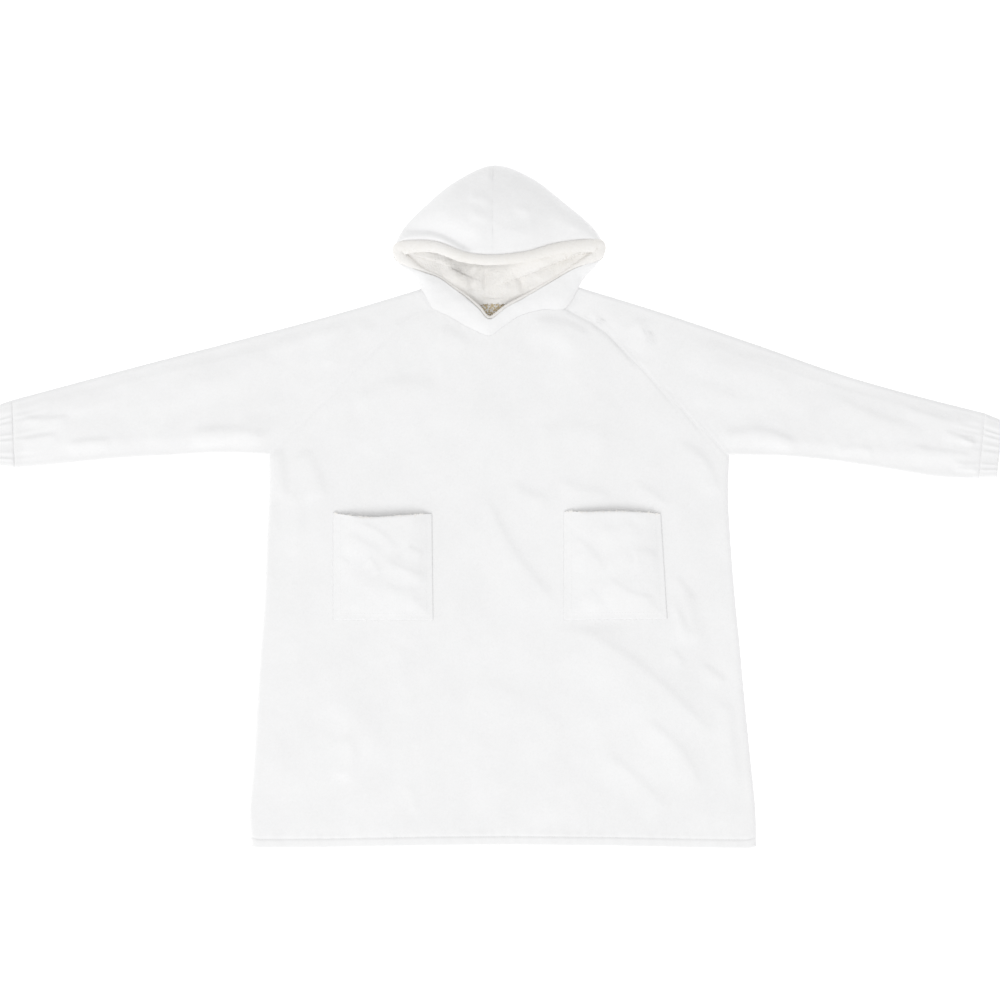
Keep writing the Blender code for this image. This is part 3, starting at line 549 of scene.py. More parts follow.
def put_mesh(name, vertices, faces, materials, face_materials=None):
    """A smooth mesh object at the origin, its faces turned outward."""
    mesh = new_mesh(name, vertices, [], faces, materials)
    if face_materials is not None:
        mesh.polygons.foreach_set("material_index", np.asarray(face_materials, dtype=np.int32))
    shape = bmesh.new()
    shape.from_mesh(mesh)
    bmesh.ops.recalc_face_normals(shape, faces=shape.faces)
    shape.to_mesh(mesh)
    shape.free()
    mesh.shade_smooth()
    mesh.set_sharp_from_angle(angle=SHARP_ANGLE)
    return put_object(name, mesh)


def evaluated_mesh(item):
    """A new mesh of what an object's modifiers make of it."""
    bpy.context.view_layer.update()
    evaluated = item.evaluated_get(bpy.context.evaluated_depsgraph_get())
    return bpy.data.meshes.new_from_object(evaluated)


def grid_faces(rows, columns, first=0):
    corner = np.arange((rows - 1) * columns).reshape(rows - 1, columns)[:, :-1].ravel() + first
    return np.stack((corner, corner + columns, corner + columns + 1, corner + 1), axis=-1)


def ring_faces(rings, points, closed=False):
    """Faces between rings of points, and from the last ring to the first if closed."""
    i = np.arange(points)
    j = (i + 1) % points
    faces = []
    for ring in range(rings if closed else rings - 1):
        a, b = ring * points, (ring + 1) % rings * points
        faces.append(np.stack((a + i, a + j, b + j, b + i), axis=-1))
    return np.vstack(faces)


def shell(name, grid, upper, lower, materials):
    """Closed sheet between two heights over a plan grid; the lower face has slot 1."""
    rows, columns = grid.shape[:2]
    count = rows * columns
    top = grid_faces(rows, columns)
    under = grid_faces(rows, columns, count)[:, ::-1]
    index = np.arange(count).reshape(rows, columns)
    rim = np.concatenate((index[0, :-1], index[:-1, -1], index[-1, :0:-1], index[:0:-1, 0]))
    after = np.roll(rim, -1)
    wall = np.stack((rim, after, after + count, rim + count), axis=-1)
    slots = np.repeat((0, min(1, len(materials) - 1), 0), (len(top), len(under), len(wall)))
    vertices = np.vstack([np.dstack((grid, height)).reshape(-1, 3) for height in (upper, lower)])
    return put_mesh(name, vertices, np.vstack((top, under, wall)), materials, slots)


def settle(piece, node, slot, *extras):
    """Puts a finished piece on the garment's body in place of its plain solid."""
    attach(piece, BODY)
    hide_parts(node)
    for extra in extras:
        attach(extra, BODY)


# Materials and Geometry Nodes

def set_inputs(node, values):
    for name, value in values.items():
        node.inputs[name].default_value = value


def add_node(tree, kind, settings=None, values=None):
    """A new node with its settings and the values of its inputs."""
    node = tree.nodes.new(kind)
    for name, value in (settings or {}).items():
        setattr(node, name, value)
    set_inputs(node, values or {})
    return node


def wire(tree, *links):
    """Joins sockets: each link names a node and its output, then a node and its input."""
    for source, output, target, entry in links:
        tree.links.new(source.outputs[output], target.inputs[entry])


def new_group(name, kind, sockets):
    """An empty node group with its named sockets, its input node and its output node."""
    group = bpy.data.node_groups.new(name, kind)
    for label, way, socket, value in sockets:
        face = group.interface.new_socket(label, in_out=way, socket_type="NodeSocket" + socket)
        if value is not None:
            face.default_value = value
    return group, group.nodes.new("NodeGroupInput"), group.nodes.new("NodeGroupOutput")


def pile_group():
    """Shader group: pile height, and a colour darkened into painted shade where the clumps sink,
    which also wanders at random over the cloth.
    """
    name = "pile surface"
    if name in bpy.data.node_groups:
        return bpy.data.node_groups[name]
    group, taken, given = new_group(name, "ShaderNodeTree", (
        ("Fibre Scale", "INPUT", "Float", 900.0),
        ("Clump Scale", "INPUT", "Float", 160.0),
        ("Clump Share", "INPUT", "Float", 0.5),
        ("Light Colour", "INPUT", "Color", None),
        ("Deep Colour", "INPUT", "Color", None),
        ("Height", "OUTPUT", "Float", None),
        ("Colour", "OUTPUT", "Color", None),
    ))
    place = add_node(group, "ShaderNodeTexCoord")
    fibre, clump, drift = (
        add_node(group, "ShaderNodeTexNoise", {}, values)
        for values in (
            {"Detail": 3.0, "Distortion": 0.6},
            {"Detail": 2.0, "Distortion": 1.2},
            {"Scale": 14.0, "Detail": 3.0},
        )
    )
    height = add_node(group, "ShaderNodeMix", {"data_type": "FLOAT"})
    wander = add_node(group, "ShaderNodeMath", {"operation": "ADD"})
    reach = add_node(group, "ShaderNodeMapRange", {}, {"From Min": 0.7, "From Max": 1.3})
    # Painted shade: the colour leans to the clump shade colour where the clump noise is low and the
    # pile sinks, with a random wander from the drift noise.
    tint = add_node(group, "ShaderNodeMix", {"data_type": "RGBA"})
    wire(
        group,
        (place, "Object", fibre, "Vector"),
        (place, "Object", clump, "Vector"),
        (place, "Object", drift, "Vector"),
        (taken, "Fibre Scale", fibre, "Scale"),
        (taken, "Clump Scale", clump, "Scale"),
        (taken, "Clump Share", height, "Factor"),
        (fibre, "Fac", height, "A"),
        (clump, "Fac", height, "B"),
        (clump, "Fac", wander, 0),
        (drift, "Fac", wander, 1),
        (wander, "Value", reach, "Value"),
        (reach, "Result", tint, "Factor"),
        (taken, "Deep Colour", tint, "A"),
        (taken, "Light Colour", tint, "B"),
        (height, "Result", given, "Height"),
        (tint, "Result", given, "Colour"),
    )
    return group


def cloth_material(name, light, deep, pile):
    """Soft cloth: colour with painted shade between the pile's clumps and pile bump from the shared
    group, a little sheen.
    """
    if name in bpy.data.materials:
        return bpy.data.materials[name]
    fibre, clump, share, depth, strength, sheen = pile
    material = bpy.data.materials.new(name)
    material.use_nodes = True
    tree = material.node_tree
    shader = tree.nodes["Principled BSDF"]
    set_inputs(shader, {"Roughness": 1.0, "Specular IOR Level": 0.1})
    set_inputs(shader, {"Sheen Weight": sheen, "Sheen Roughness": 0.6})
    surface = add_node(tree, "ShaderNodeGroup", {"node_tree": pile_group()}, {
        "Fibre Scale": fibre,
        "Clump Scale": clump,
        "Clump Share": share,
        "Light Colour": (*light, 1.0),
        "Deep Colour": (*deep, 1.0),
    })
    bump = add_node(tree, "ShaderNodeBump", {}, {"Strength": strength, "Distance": depth})
    wire(
        tree,
        (surface, "Colour", shader, "Base Color"),
        (surface, "Height", bump, "Height"),
        (bump, "Normal", shader, "Normal"),
    )
    return material


def tinted(colour, tint):
    return tuple(channel * share for channel, share in zip(colour, tint))


def flannel():
    light = bpy.context.scene.hoodie_cloth.shell_colour
    return cloth_material("white flannel fleece", light, tinted(light, FLANNEL_CLUMP_SHADE), FLANNEL_PILE)


# A tint below white darkens the sherpa into painted shade, as in the neck.
def sherpa(name="cream sherpa", tint=(1.0, 1.0, 1.0)):
    light = tinted(bpy.context.scene.hoodie_cloth.sherpa_colour, tint)
    return cloth_material(name, light, tinted(light, SHERPA_CLUMP_SHADE), SHERPA_PILE)


def thread():
    # The second colour is painted shade between the thread's clumps.
    return cloth_material("white thread", (0.86, 0.86, 0.86), (0.80, 0.80, 0.80), THREAD_PILE)


def growth_tree(name, labels):
    """An empty Geometry Nodes tree; every input is a float but the seed and the material."""
    kinds = {"Seed": "Int", "Material": "Material"}
    sockets = [("Geometry", "INPUT", "Geometry", None)]
    sockets += [(label, "INPUT", kinds.get(label, "Float"), None) for label in labels]
    sockets.append(("Geometry", "OUTPUT", "Geometry", None))
    return new_group(name, "GeometryNodeTree", sockets)


def stitch_tree():
    """Short raised stitches at an even pitch along curves."""
    name = "stitches along a seam"
    if name in bpy.data.node_groups:
        return bpy.data.node_groups[name]
    labels = ("Pitch", "Stitch Length", "Thread Radius", "Material")
    tree, taken, given = growth_tree(name, labels)
    paths = add_node(tree, "GeometryNodeMeshToCurve")
    spaced = add_node(tree, "GeometryNodeResampleCurve", {"mode": "LENGTH"})
    knots = add_node(tree, "GeometryNodeInstanceOnPoints")
    bead = add_node(tree, "GeometryNodeMeshIcoSphere", {}, UNIT_BALL)
    heading = add_node(tree, "GeometryNodeInputTangent")
    turn = add_node(tree, "FunctionNodeAlignRotationToVector", {"axis": "X"})
    size = add_node(tree, "ShaderNodeCombineXYZ")
    half = add_node(tree, "ShaderNodeMath", {"operation": "MULTIPLY"}, {1: 0.5})
    real = add_node(tree, "GeometryNodeRealizeInstances")
    finish = add_node(tree, "GeometryNodeSetMaterial")
    wire(
        tree,
        (taken, "Geometry", paths, 0),
        (paths, 0, spaced, "Curve"),
        (taken, "Pitch", spaced, "Length"),
        (spaced, 0, knots, "Points"),
        (bead, "Mesh", knots, "Instance"),
        (heading, 0, turn, "Vector"),
        (turn, 0, knots, "Rotation"),
        (taken, "Stitch Length", half, 0),
        (half, 0, size, "X"),
        (taken, "Thread Radius", size, "Y"),
        (taken, "Thread Radius", size, "Z"),
        (size, 0, knots, "Scale"),
        (knots, 0, real, 0),
        (real, 0, finish, "Geometry"),
        (taken, "Material", finish, "Material"),
        (finish, 0, given, 0),
    )
    return tree


def tuft_tree():
    """Small curled tufts scattered over a surface where its pile attribute is set."""
    name = "sherpa tufts"
    if name in bpy.data.node_groups:
        return bpy.data.node_groups[name]
    tree, taken, given = growth_tree(name, ("Density", "Tuft Radius", "Seed", "Material"))
    vector = {"data_type": "FLOAT_VECTOR"}
    least, most = TUFT_SQUEEZE
    kind = {"data_type": "FLOAT"}
    mask = add_node(tree, "GeometryNodeInputNamedAttribute", kind, {"Name": "pile"})
    thick = add_node(tree, "ShaderNodeMath", {"operation": "MULTIPLY"})
    spread = add_node(tree, "GeometryNodeDistributePointsOnFaces")
    tufts = add_node(tree, "GeometryNodeInstanceOnPoints")
    tuft = add_node(tree, "GeometryNodeMeshIcoSphere", {}, UNIT_BALL)
    rooted = add_node(tree, "GeometryNodeTransform", {}, {"Translation": (0.0, 0.0, -TUFT_ROOT)})
    turn = add_node(tree, "FunctionNodeRandomValue", vector, {
        "Min": (-TUFT_LEAN, -TUFT_LEAN, 0.0),
        "Max": (TUFT_LEAN, TUFT_LEAN, FULL_TURN),
    })
    euler = add_node(tree, "FunctionNodeEulerToRotation")
    leaning = add_node(tree, "FunctionNodeRotateRotation", {"rotation_space": "LOCAL"})
    squeeze = add_node(tree, "FunctionNodeRandomValue", vector, {"Min": least, "Max": most})
    size = add_node(tree, "ShaderNodeVectorMath", {"operation": "SCALE"})
    real = add_node(tree, "GeometryNodeRealizeInstances")
    facets = add_node(tree, "GeometryNodeSetShadeSmooth", {}, {"Shade Smooth": False})
    finish = add_node(tree, "GeometryNodeSetMaterial")
    wire(
        tree,
        (taken, "Geometry", spread, "Mesh"),
        (taken, "Density", thick, 0),
        (mask, "Attribute", thick, 1),
        (thick, 0, spread, "Density"),
        (taken, "Seed", spread, "Seed"),
        (spread, "Points", tufts, "Points"),
        (tuft, "Mesh", facets, 0),
        (facets, 0, rooted, "Geometry"),
        (rooted, "Geometry", tufts, "Instance"),
        (taken, "Seed", turn, "Seed"),
        (taken, "Seed", squeeze, "Seed"),
        (turn, "Value", euler, 0),
        (spread, "Rotation", leaning, 0),
        (euler, 0, leaning, 1),
        (leaning, 0, tufts, "Rotation"),
        (squeeze, "Value", size, 0),
        (taken, "Tuft Radius", size, "Scale"),
        (size, 0, tufts, "Scale"),
        (tufts, 0, real, 0),
        (real, 0, finish, "Geometry"),
        (taken, "Material", finish, "Material"),
        (finish, 0, given, 0),
    )
    return tree


def grown(name, source, tree, values):
    """A plain mesh of what a Geometry Nodes tree grows on a source object."""
    modifier = source.modifiers.new(tree.name, "NODES")
    modifier.node_group = tree
    for item in tree.interface.items_tree:
        if item.in_out == "INPUT" and item.name in values:
            modifier[item.identifier] = values[item.name]
    source.update_tag()
    mesh = evaluated_mesh(source)
    mesh.name = name
    source.modifiers.remove(modifier)
    if not mesh.polygons:
        raise RuntimeError(f"{name} came out empty")
    return put_object(name, mesh)


def grow_tufts(name, source, mask, density, radius, seed, material=None):
    """Sherpa tufts over a piece, thick where the mask over its points says so."""
    pile = source.data.attributes.new("pile", "FLOAT", "POINT")
    pile.data.foreach_set("value", np.asarray(mask, dtype=np.float32))
    values = {"Density": density, "Tuft Radius": radius, "Seed": seed}
    tufts = grown(name, source, tuft_tree(), {**values, "Material": material or sherpa()})
    source.data.attributes.remove(source.data.attributes["pile"])
    return tufts


def sew(name, line):
    """Stitches along a line of 3-D points."""
    edges = [(i, i + 1) for i in range(len(line) - 1)]
    mesh = new_mesh(name + "_path", line, edges, [])
    path = put_object(name + "_path", mesh)
    stitches = grown(name, path, stitch_tree(), {**STITCH, "Material": thread()})
    bpy.data.objects.remove(path, do_unlink=True)
    bpy.data.meshes.remove(mesh)
    return stitches


# Body

def cloth_heights():
    """Heights of the front's lower face, its upper face and the middle of both panels."""
    cloth = bpy.context.scene.hoodie_cloth.body_thickness
    bottom = cloth + SEAM_GAP
    return bottom, bottom + cloth, (bottom + cloth) / 2


def raglan_line(side, cells=64):
    return smooth_line(RAGLAN, edge_shares(cells, 0.02)) * ((1.0 if side > 0 else -1.0), 1.0)


def back_neck_half(side):
    end = np.array(RAGLAN[0]) * (side, 1.0)
    dip = np.array(NAPE) + (side * 0.060, -0.004)
    return smooth_line((end, dip, NAPE), even(25))


def body_side(side):
    rows = np.array(BODY_SIDE)
    line = np.stack((side * rows[:, 1] + rows[:, 2], rows[:, 0]), axis=-1)
    return smooth_line(line, even(100))


def body_plan(neck, raglan_cells, rows):
    """Plan grid of a body panel, its first row along the raglans and the neck."""
    left, right = raglan_line(1, raglan_cells), raglan_line(-1, raglan_cells)
    top = np.vstack((right[::-1], neck[1:-1], left))
    raglan_share = shares_of(left)
    start, end = NECK_SHARES
    share = np.concatenate((
        start * (1 - raglan_share[::-1]),
        np.linspace(start, end, len(neck))[1:-1],
        end + start * raglan_share,
    ))
    dense = blended(body_side(-1), body_side(1), top, straight_line(HEM, share))
    hem_rows, seam_rows = np.array(HEM_ROWS) * MM, np.array(SEAM_ROWS) * MM
    grid = np.empty((len(seam_rows) + rows + len(hem_rows), len(top), 2))
    for column in range(len(top)):
        total = length(dense[:, column])
        middle = np.linspace(seam_rows[-1], total - hem_rows[0], rows + 2)[1:-1]
        at = np.concatenate((seam_rows, middle, total - hem_rows)) / total
        grid[:, column] = straight_line(dense[:, column], at)
    return grid


def pocket_clearance(grid):
    """0 under and beside the pockets, 1 away from them."""
    clear = np.ones(grid.shape[:2])
    for corners in (POCKET_LEFT, POCKET_RIGHT):
        low, high = np.min(corners, axis=0), np.max(corners, axis=0)
        away = np.maximum(np.maximum(low - grid, grid - high), 0.0)
        clear *= ease((np.linalg.norm(away, axis=-1) - 0.004) / 0.02)
    return clear


def panel_edges(grid):
    """Distance of each point from the top line, the nearer side and the hem."""
    top, left, right, hem = (
        line_distance(grid, line)[0] for line in (grid[0], grid[:, 0], grid[:, -1], grid[-1])
    )
    return top, np.minimum(left, right), hem


def raglan_depth(side, share):
    """How deep the raglan seam is drawn in; most at the neck on the wearer's left."""
    if side < 0:
        return 0.0006
    return 0.0005 + 0.0021 * (1 - ease((share - 0.25) / 0.35))


def raglan_dip(grid, side):
    away, share = line_distance(grid, raglan_line(side))
    return raglan_depth(side, share) * ease(1 - away / RAGLAN_DIP)


def front_surface(grid):
    """Upper face of the front and its big folds: creases, seams, turned and rounded hem."""
    bottom, full, middle = cloth_heights()
    top, sides, hem = panel_edges(grid)
    clear = pocket_clearance(grid)
    calm = ease(top / FOLD_FADE) * ease((hem - 0.028) / FOLD_FADE) * clear
    big = calm * ease(sides / FOLD_FADE) * fold_relief(grid, FRONT_FOLDS)
    near = ease(top / CREASE_FADE) * ease(sides / CREASE_FADE)
    near = near * ease((hem - 0.018) / CREASE_FADE) * clear
    small = creases(grid, FRONT_CREASES) + soft_waves(grid, 0.10, 0.0007, 3)
    small = near * (small + soft_waves(grid, 0.035, 0.0003, 5))
    from_stitch = hem - HEM_DEPTH
    groove = 0.0009 * bell(from_stitch, 0.0020)
    turned = 0.0006 * ease(-from_stitch / 0.003)
    ripple = np.sin(grid[..., 0] * 260 + 2 * np.sin(grid[..., 0] * 41))
    ripple = 0.0006 * ripple * bell(from_stitch, 0.012)
    height = full + big + small + seam_pucker(grid, top, 0.0004)
    height = height - (raglan_dip(grid, 1) + raglan_dip(grid, -1)) - groove + turned + ripple
    rounded = np.minimum(round_off(sides, full - middle), round_off(hem, HEM_ROUND))
    return bottom + HAIR + (height - bottom - HAIR) * rounded, big


def hem_stitches(name, grid, height):
    """Stitches along the row of the grid that lies nearest to the hem's seam."""
    from_hem = line_distance(grid, grid[-1])[0][:, len(grid[0]) // 2]
    row = int(np.argmin(np.abs(from_hem - HEM_DEPTH)))
    return sew(name, np.dstack((grid, height))[row, 6:-6])


def make_front():
    right = side_stations(-1, NECK_STATION, THROAT_STATION, 0.16)
    left = side_stations(1, NECK_STATION, THROAT_STATION, 0.16)
    grid = body_plan(hood_edge(np.concatenate((right, left[::-1][1:])))[0], 56, 140)
    upper, big = front_surface(grid)
    lower = cloth_heights()[0] + big
    front = shell("body_front_panel", grid, upper, lower, [flannel(), sherpa()])
    stitches = hem_stitches("hem_stitches_front", grid, upper + HAIR)
    settle(front, "body_front", "body_front", stitches)


def make_back():
    cloth = bpy.context.scene.hoodie_cloth.body_thickness
    middle = cloth_heights()[2]
    neck = np.vstack((back_neck_half(-1), back_neck_half(1)[::-1][1:]))
    grid = body_plan(neck, 34, 70)
    top, sides, hem = panel_edges(grid)
    rounded = round_off(np.minimum(sides, hem), middle)
    groove = 0.0010 * bell(hem - HEM_DEPTH, 0.0016) + 0.0012 * ease(1 - top / 0.005)
    lower = (cloth - HAIR) * (1 - rounded) + groove * rounded
    upper = np.full(grid.shape[:2], cloth)
    back = shell("body_back_panel", grid, upper, lower, [sherpa(), flannel()])
    x, y = grid[..., 0], grid[..., 1]
    neck_hole = ease((y - 0.285) / 0.01) * ease((0.075 - np.abs(x - NAPE[0])) / 0.01)
    mask = np.concatenate((neck_hole.ravel(), np.zeros(x.size)))
    # The neck's pile gets a golden-brown painted shade, for the shade deep in the neck between the
    # hood's lips.
    shaded = sherpa("sherpa deep in the neck", NECK_PAINTED_SHADE)
    pile = grow_tufts("body_back_neck_pile", back, mask, TUFTS, 0.0017, 11, shaded)
    stitches = hem_stitches("hem_stitches_back", grid, lower - HAIR / 2)
    settle(back, "body_back", "body_back", pile, stitches)


# Sleeves and cuffs

def tube_rings(lines, shares, rise, upper_pull):
    """Outer and inner rings of a flattened tube, one pair for each plan line."""
    _, full, middle = cloth_heights()
    slit = SEAM_GAP / 2
    angles = np.radians(np.linspace(90.0, -90.0, 11))
    inset = middle * (1 - np.cos(angles))
    swing = np.sin(angles)
    outer, inner = [], []
    for line, lift, pull in zip(lines, rise, upper_pull):
        total = length(line)
        across = straight_line(line, (middle + shares * (total - 2 * middle)) / total)[1:-1]
        top = full + lift - pull

        def turn(at, crest):
            height = middle + np.clip(swing, 0.0, 1.0) * (crest - middle)
            height = height + np.clip(swing, -1.0, 0.0) * middle
            return np.column_stack((straight_line(line, at), height))

        def level(height):
            return np.column_stack((across, height * np.ones(len(across))))

        far = turn(1 - inset / total, top[-1])
        near = turn(inset / total, top[0])[::-1]
        outer.append(np.vstack((level(top[1:-1]), far, level(0.0)[::-1], near)))
        tight = (middle - slit * np.cos(angles)) / total
        far = np.column_stack((straight_line(line, 1 - tight), middle + slit * swing))
        near = np.column_stack((straight_line(line, tight), middle + slit * swing))[::-1]
        inner.append(np.vstack((level(middle + slit), far, level(middle - slit)[::-1], near)))
    return np.array(outer), np.array(inner)


def tube(name, lines, shares, rise, upper_pull):
    """Closed flattened cloth tube, sherpa inside."""
    outer, inner = tube_rings(lines, shares, rise, upper_pull)
    rings, points = outer.shape[:2]
    base = rings * points
    outside = ring_faces(rings, points)
    i = np.arange(points)
    j = (i + 1) % points
    end = base - points
    near_cap = np.stack((i, i + base, j + base, j), axis=-1)
    far_cap = np.stack((end + i, end + j, base + end + j, base + end + i), axis=-1)
    faces = np.vstack((outside, outside[:, ::-1] + base, near_cap, far_cap))
    slots = np.repeat((0, 1, 0), (len(outside), len(outside), 2 * points))
    vertices = np.vstack((outer.reshape(-1, 3), inner.reshape(-1, 3)))
    return put_mesh(name, vertices, faces, [flannel(), sherpa()], slots)


def sleeve_grid(side, table):
    """Plan lines across a sleeve, from the neck and raglan seams to the cuff seam."""
    neck = hood_edge(side_stations(side, SHOULDER_STATION, NECK_STATION, 0.125))[0]
    seam = shifted(np.vstack((neck, raglan_line(side, 46)[1:])), side * SEWN_GAP)
    rows = np.array(table)
    top_rows, bottom_rows = rows[:, 0:2].copy(), rows[:, 2:4].copy()
    top_rows[0], bottom_rows[0] = seam[0], seam[-1]
    ends = np.array((0.0, 0.0012, 0.003, 0.0055, 0.009, 0.014))
    stations = np.concatenate((ends, np.linspace(0.02, 0.98, 128), 1 - ends[::-1]))
    top, bottom = smooth_line(top_rows, stations), smooth_line(bottom_rows, stations)
    cuff = top[-1] + shares_of(seam)[:, None] * (bottom[-1] - top[-1])
    return seam, stations, blended(seam, cuff, top, bottom).transpose(1, 0, 2), length(top)


def gather_waves(share, seed):
    """Uneven gathers across a band, 0 to 1."""
    random = np.random.default_rng(seed)
    wander = sum(
        random.uniform(-1.3, 1.3) * np.sin(2 * np.pi * share * k + random.uniform(0, 6))
        for k in (1, 2, 3)
    )
    return ((1 - np.cos(2 * np.pi * CUFF_GATHERS * share + wander)) / 2) ** 1.4


def make_sleeve(name, side, table, cuff_end, seed):
    middle = cloth_heights()[2]
    seam, stations, grid, reach = sleeve_grid(side, table)
    total = length(seam)
    shares = np.clip((shares_of(seam)[1:-1] * total - middle) / (total - 2 * middle), 0.0, 1.0)
    shares = np.unique(np.concatenate(([0.0], shares, [1.0])))
    edge = both_ends(shares, 0.06)
    dip_width = SLEEVE_DIP if side > 0 else RAGLAN_DIP
    rise = []
    for line, station in zip(grid, stations):
        across = length(line)
        points = straight_line(line, (middle + shares * (across - 2 * middle)) / across)
        from_cuff = (1 - station) * reach
        from_seam, at_seam = line_distance(points, seam)
        fade = ease(from_seam / FOLD_FADE) * ease(shares / 0.1) * ease((1 - shares) / 0.1)
        big = fade * fold_relief(points, SLEEVE_FOLDS)
        waves = soft_waves(points, 0.08, 0.0008, seed)
        small = creases(points, SLEEVE_CREASES) + waves + soft_waves(points, 0.03, 0.0003, seed + 1)
        small = small * edge * ease(from_seam / CREASE_FADE) * ease(from_cuff / CREASE_FADE)
        gather = ease(1 - from_cuff / 0.10) * ease((from_cuff + 0.002) / 0.014)
        gathers = 0.0010 * gather * gather_waves(shares, seed) * edge
        pucker = seam_pucker(points, from_seam, 0.0003)
        dip = raglan_depth(side, at_seam) * ease(1 - from_seam / dip_width)
        thin = 0.0048 * (1 - ease((1 - shares) * across / 0.040))
        thin = thin + 0.0020 * (1 - ease(shares * across / 0.025))
        thin = thin * ease(from_seam / 0.07) * ease((from_cuff + 0.02) / 0.05)
        rise.append(big + small + gathers + pucker - dip - thin)
    pull = CUFF_SEAM_PULL * ease(1 - (1 - stations) * reach / 0.005)
    sleeve = tube(f"sleeve_{name}_tube", grid, shares, rise, pull)
    settle(sleeve, f"sleeve_{name}", f"sleeve_{name}")
    make_cuff(name, grid[-1][[0, -1]], np.array(cuff_end).reshape(2, 2), seed)


def make_cuff(name, start, end, seed):
    away = (end - start).mean(axis=0)
    start = start + away / np.linalg.norm(away) * SEWN_GAP
    shares, steps = even(113), np.array(CUFF_STEPS)
    lines = start + steps[:, None, None] * (end - start)
    waves = gather_waves(shares, seed) * ease(shares / 0.05) * ease((1 - shares) / 0.05)
    swell = np.sin(np.pi * steps) ** 0.5
    rise = [(0.0008 + 0.0011 * waves) * lift - 0.0004 * (1 - waves) for lift in swell]
    rounded = round_off(np.minimum(steps, 1 - steps) * 0.03, 0.005)
    pull = np.where(steps < 0.5, CUFF_SEAM_PULL, CUFF_END_PULL) * (1 - rounded)
    cuff = tube(f"cuff_{name}_band", lines, shares, rise, pull)
    settle(cuff, f"cuff_{name}", f"cuff_{name}")


# Hood

def hood_crown(side, seed):
    """Upper shell of a hood half, from the face opening out to its edge."""
    stations = side_stations(side, 0, THROAT_STATION, 1 / STATION_CELLS)
    edge, edge_height = hood_edge(stations)
    face = closed_line(FACE, stations)
    around = np.linspace(0.0, THROAT_STATION, len(stations))
    lip = ease((around - 4.5) / 2.5)[:, None]
    sewn_to_neck = np.arange(len(edge)) >= SHOULDER_STATION * STATION_CELLS
    inward = unit(face[:, :2] - edge)
    edge = edge + inward * np.where(sewn_to_neck, 2 * SEWN_GAP, 0.0)[:, None]
    start = face[:, :2].copy()
    half_gap = side * SEWN_GAP / 2
    edge[[0, -1], 0] += half_gap
    start[[0, -1], 0] += half_gap
    rolled = 1 - 0.1 * np.cos(even(12)[1:] * np.pi / 2) ** 1.5
    steps = np.concatenate((np.linspace(0.0, 0.9, 44), rolled))
    plan = start[:, None] + steps[:, None] * (edge - start)[:, None]
    span = np.linalg.norm(edge - start, axis=1)[:, None]
    bulge = CROWN_BULGE * ease(span / 0.1) * np.sin(np.pi * steps)
    fall = (1 - lip) * np.sqrt(1 - steps**2.4) + lip * (1 - steps**1.5) ** 0.9
    low = (edge_height + LIP_EDGE_RISE * ease((around - 6.3) / 0.9))[:, None]
    height = low + (face[:, 2, None] - low) * fall + bulge
    calm = np.sqrt(np.clip(1 - steps**6, 0.0, 1.0)) * ease(steps / 0.06) * ease(span / 0.04)
    from_centre = np.abs(plan[..., 0] - (NAPE[0] + half_gap))
    seam_depth = 0.0001 + 0.0042 * ease((plan[..., 1] - 0.548) / 0.015)
    seam_dip = seam_depth * bell(from_centre, 0.0022) * (span / 0.1 > 0.5)
    waves = soft_waves(plan, 0.06, 0.0009, seed) + soft_waves(plan, 0.026, 0.0004, seed + 1)
    relief = fold_relief(plan, CROWN_CREASES) + creases(plan, ROLL_CREASES) + waves
    height += calm * relief - seam_dip * calm
    rim_dip = 0.0030 * (1 - lip) * bell(steps[None, :] * span, 0.0035)
    return np.dstack((plan, height - rim_dip)), edge, edge_height


def hood_base(side, edge, edge_height):
    """Part of a hood half that is folded under, from its edge in to the centre seam."""
    half_gap = side * SEWN_GAP / 2
    seam_top = np.array(CROWN_SEAM_TOP) + (half_gap, 0.0)
    nape = np.array(NAPE) + (half_gap, HOOD_NECK_GAP)
    seam = seam_top + even(len(edge))[:, None] * (nape - seam_top)
    neck = hood_edge(side_stations(side, SHOULDER_STATION, NECK_STATION, 0.125))[0]
    last = shifted(np.vstack((neck, back_neck_half(side)[1:])), -side * HOOD_NECK_GAP)
    last[0], last[-1] = edge[-1], nape
    first = straight_line((edge[0], seam_top), shares_of(last))
    angles = np.radians(np.linspace(8.0, 90.0, 9))
    radius = edge_height[-1] / length(last)
    flat_steps = (shares_of(last)[1:] - radius) / (1 - radius)
    flat_steps = flat_steps[flat_steps > 0.01]
    base = []
    for line, fold_radius in zip(blended(edge, seam, first, last), edge_height):
        total = length(line)
        fold = fold_radius * (1 - np.cos(angles)) / total
        flat = (fold_radius + flat_steps * (total - fold_radius)) / total
        points = straight_line(line, np.concatenate((fold, flat)))
        down = np.concatenate((fold_radius * (1 - np.sin(angles)), np.zeros(len(flat))))
        base.append(np.column_stack((points, down)))
    return np.array(base)


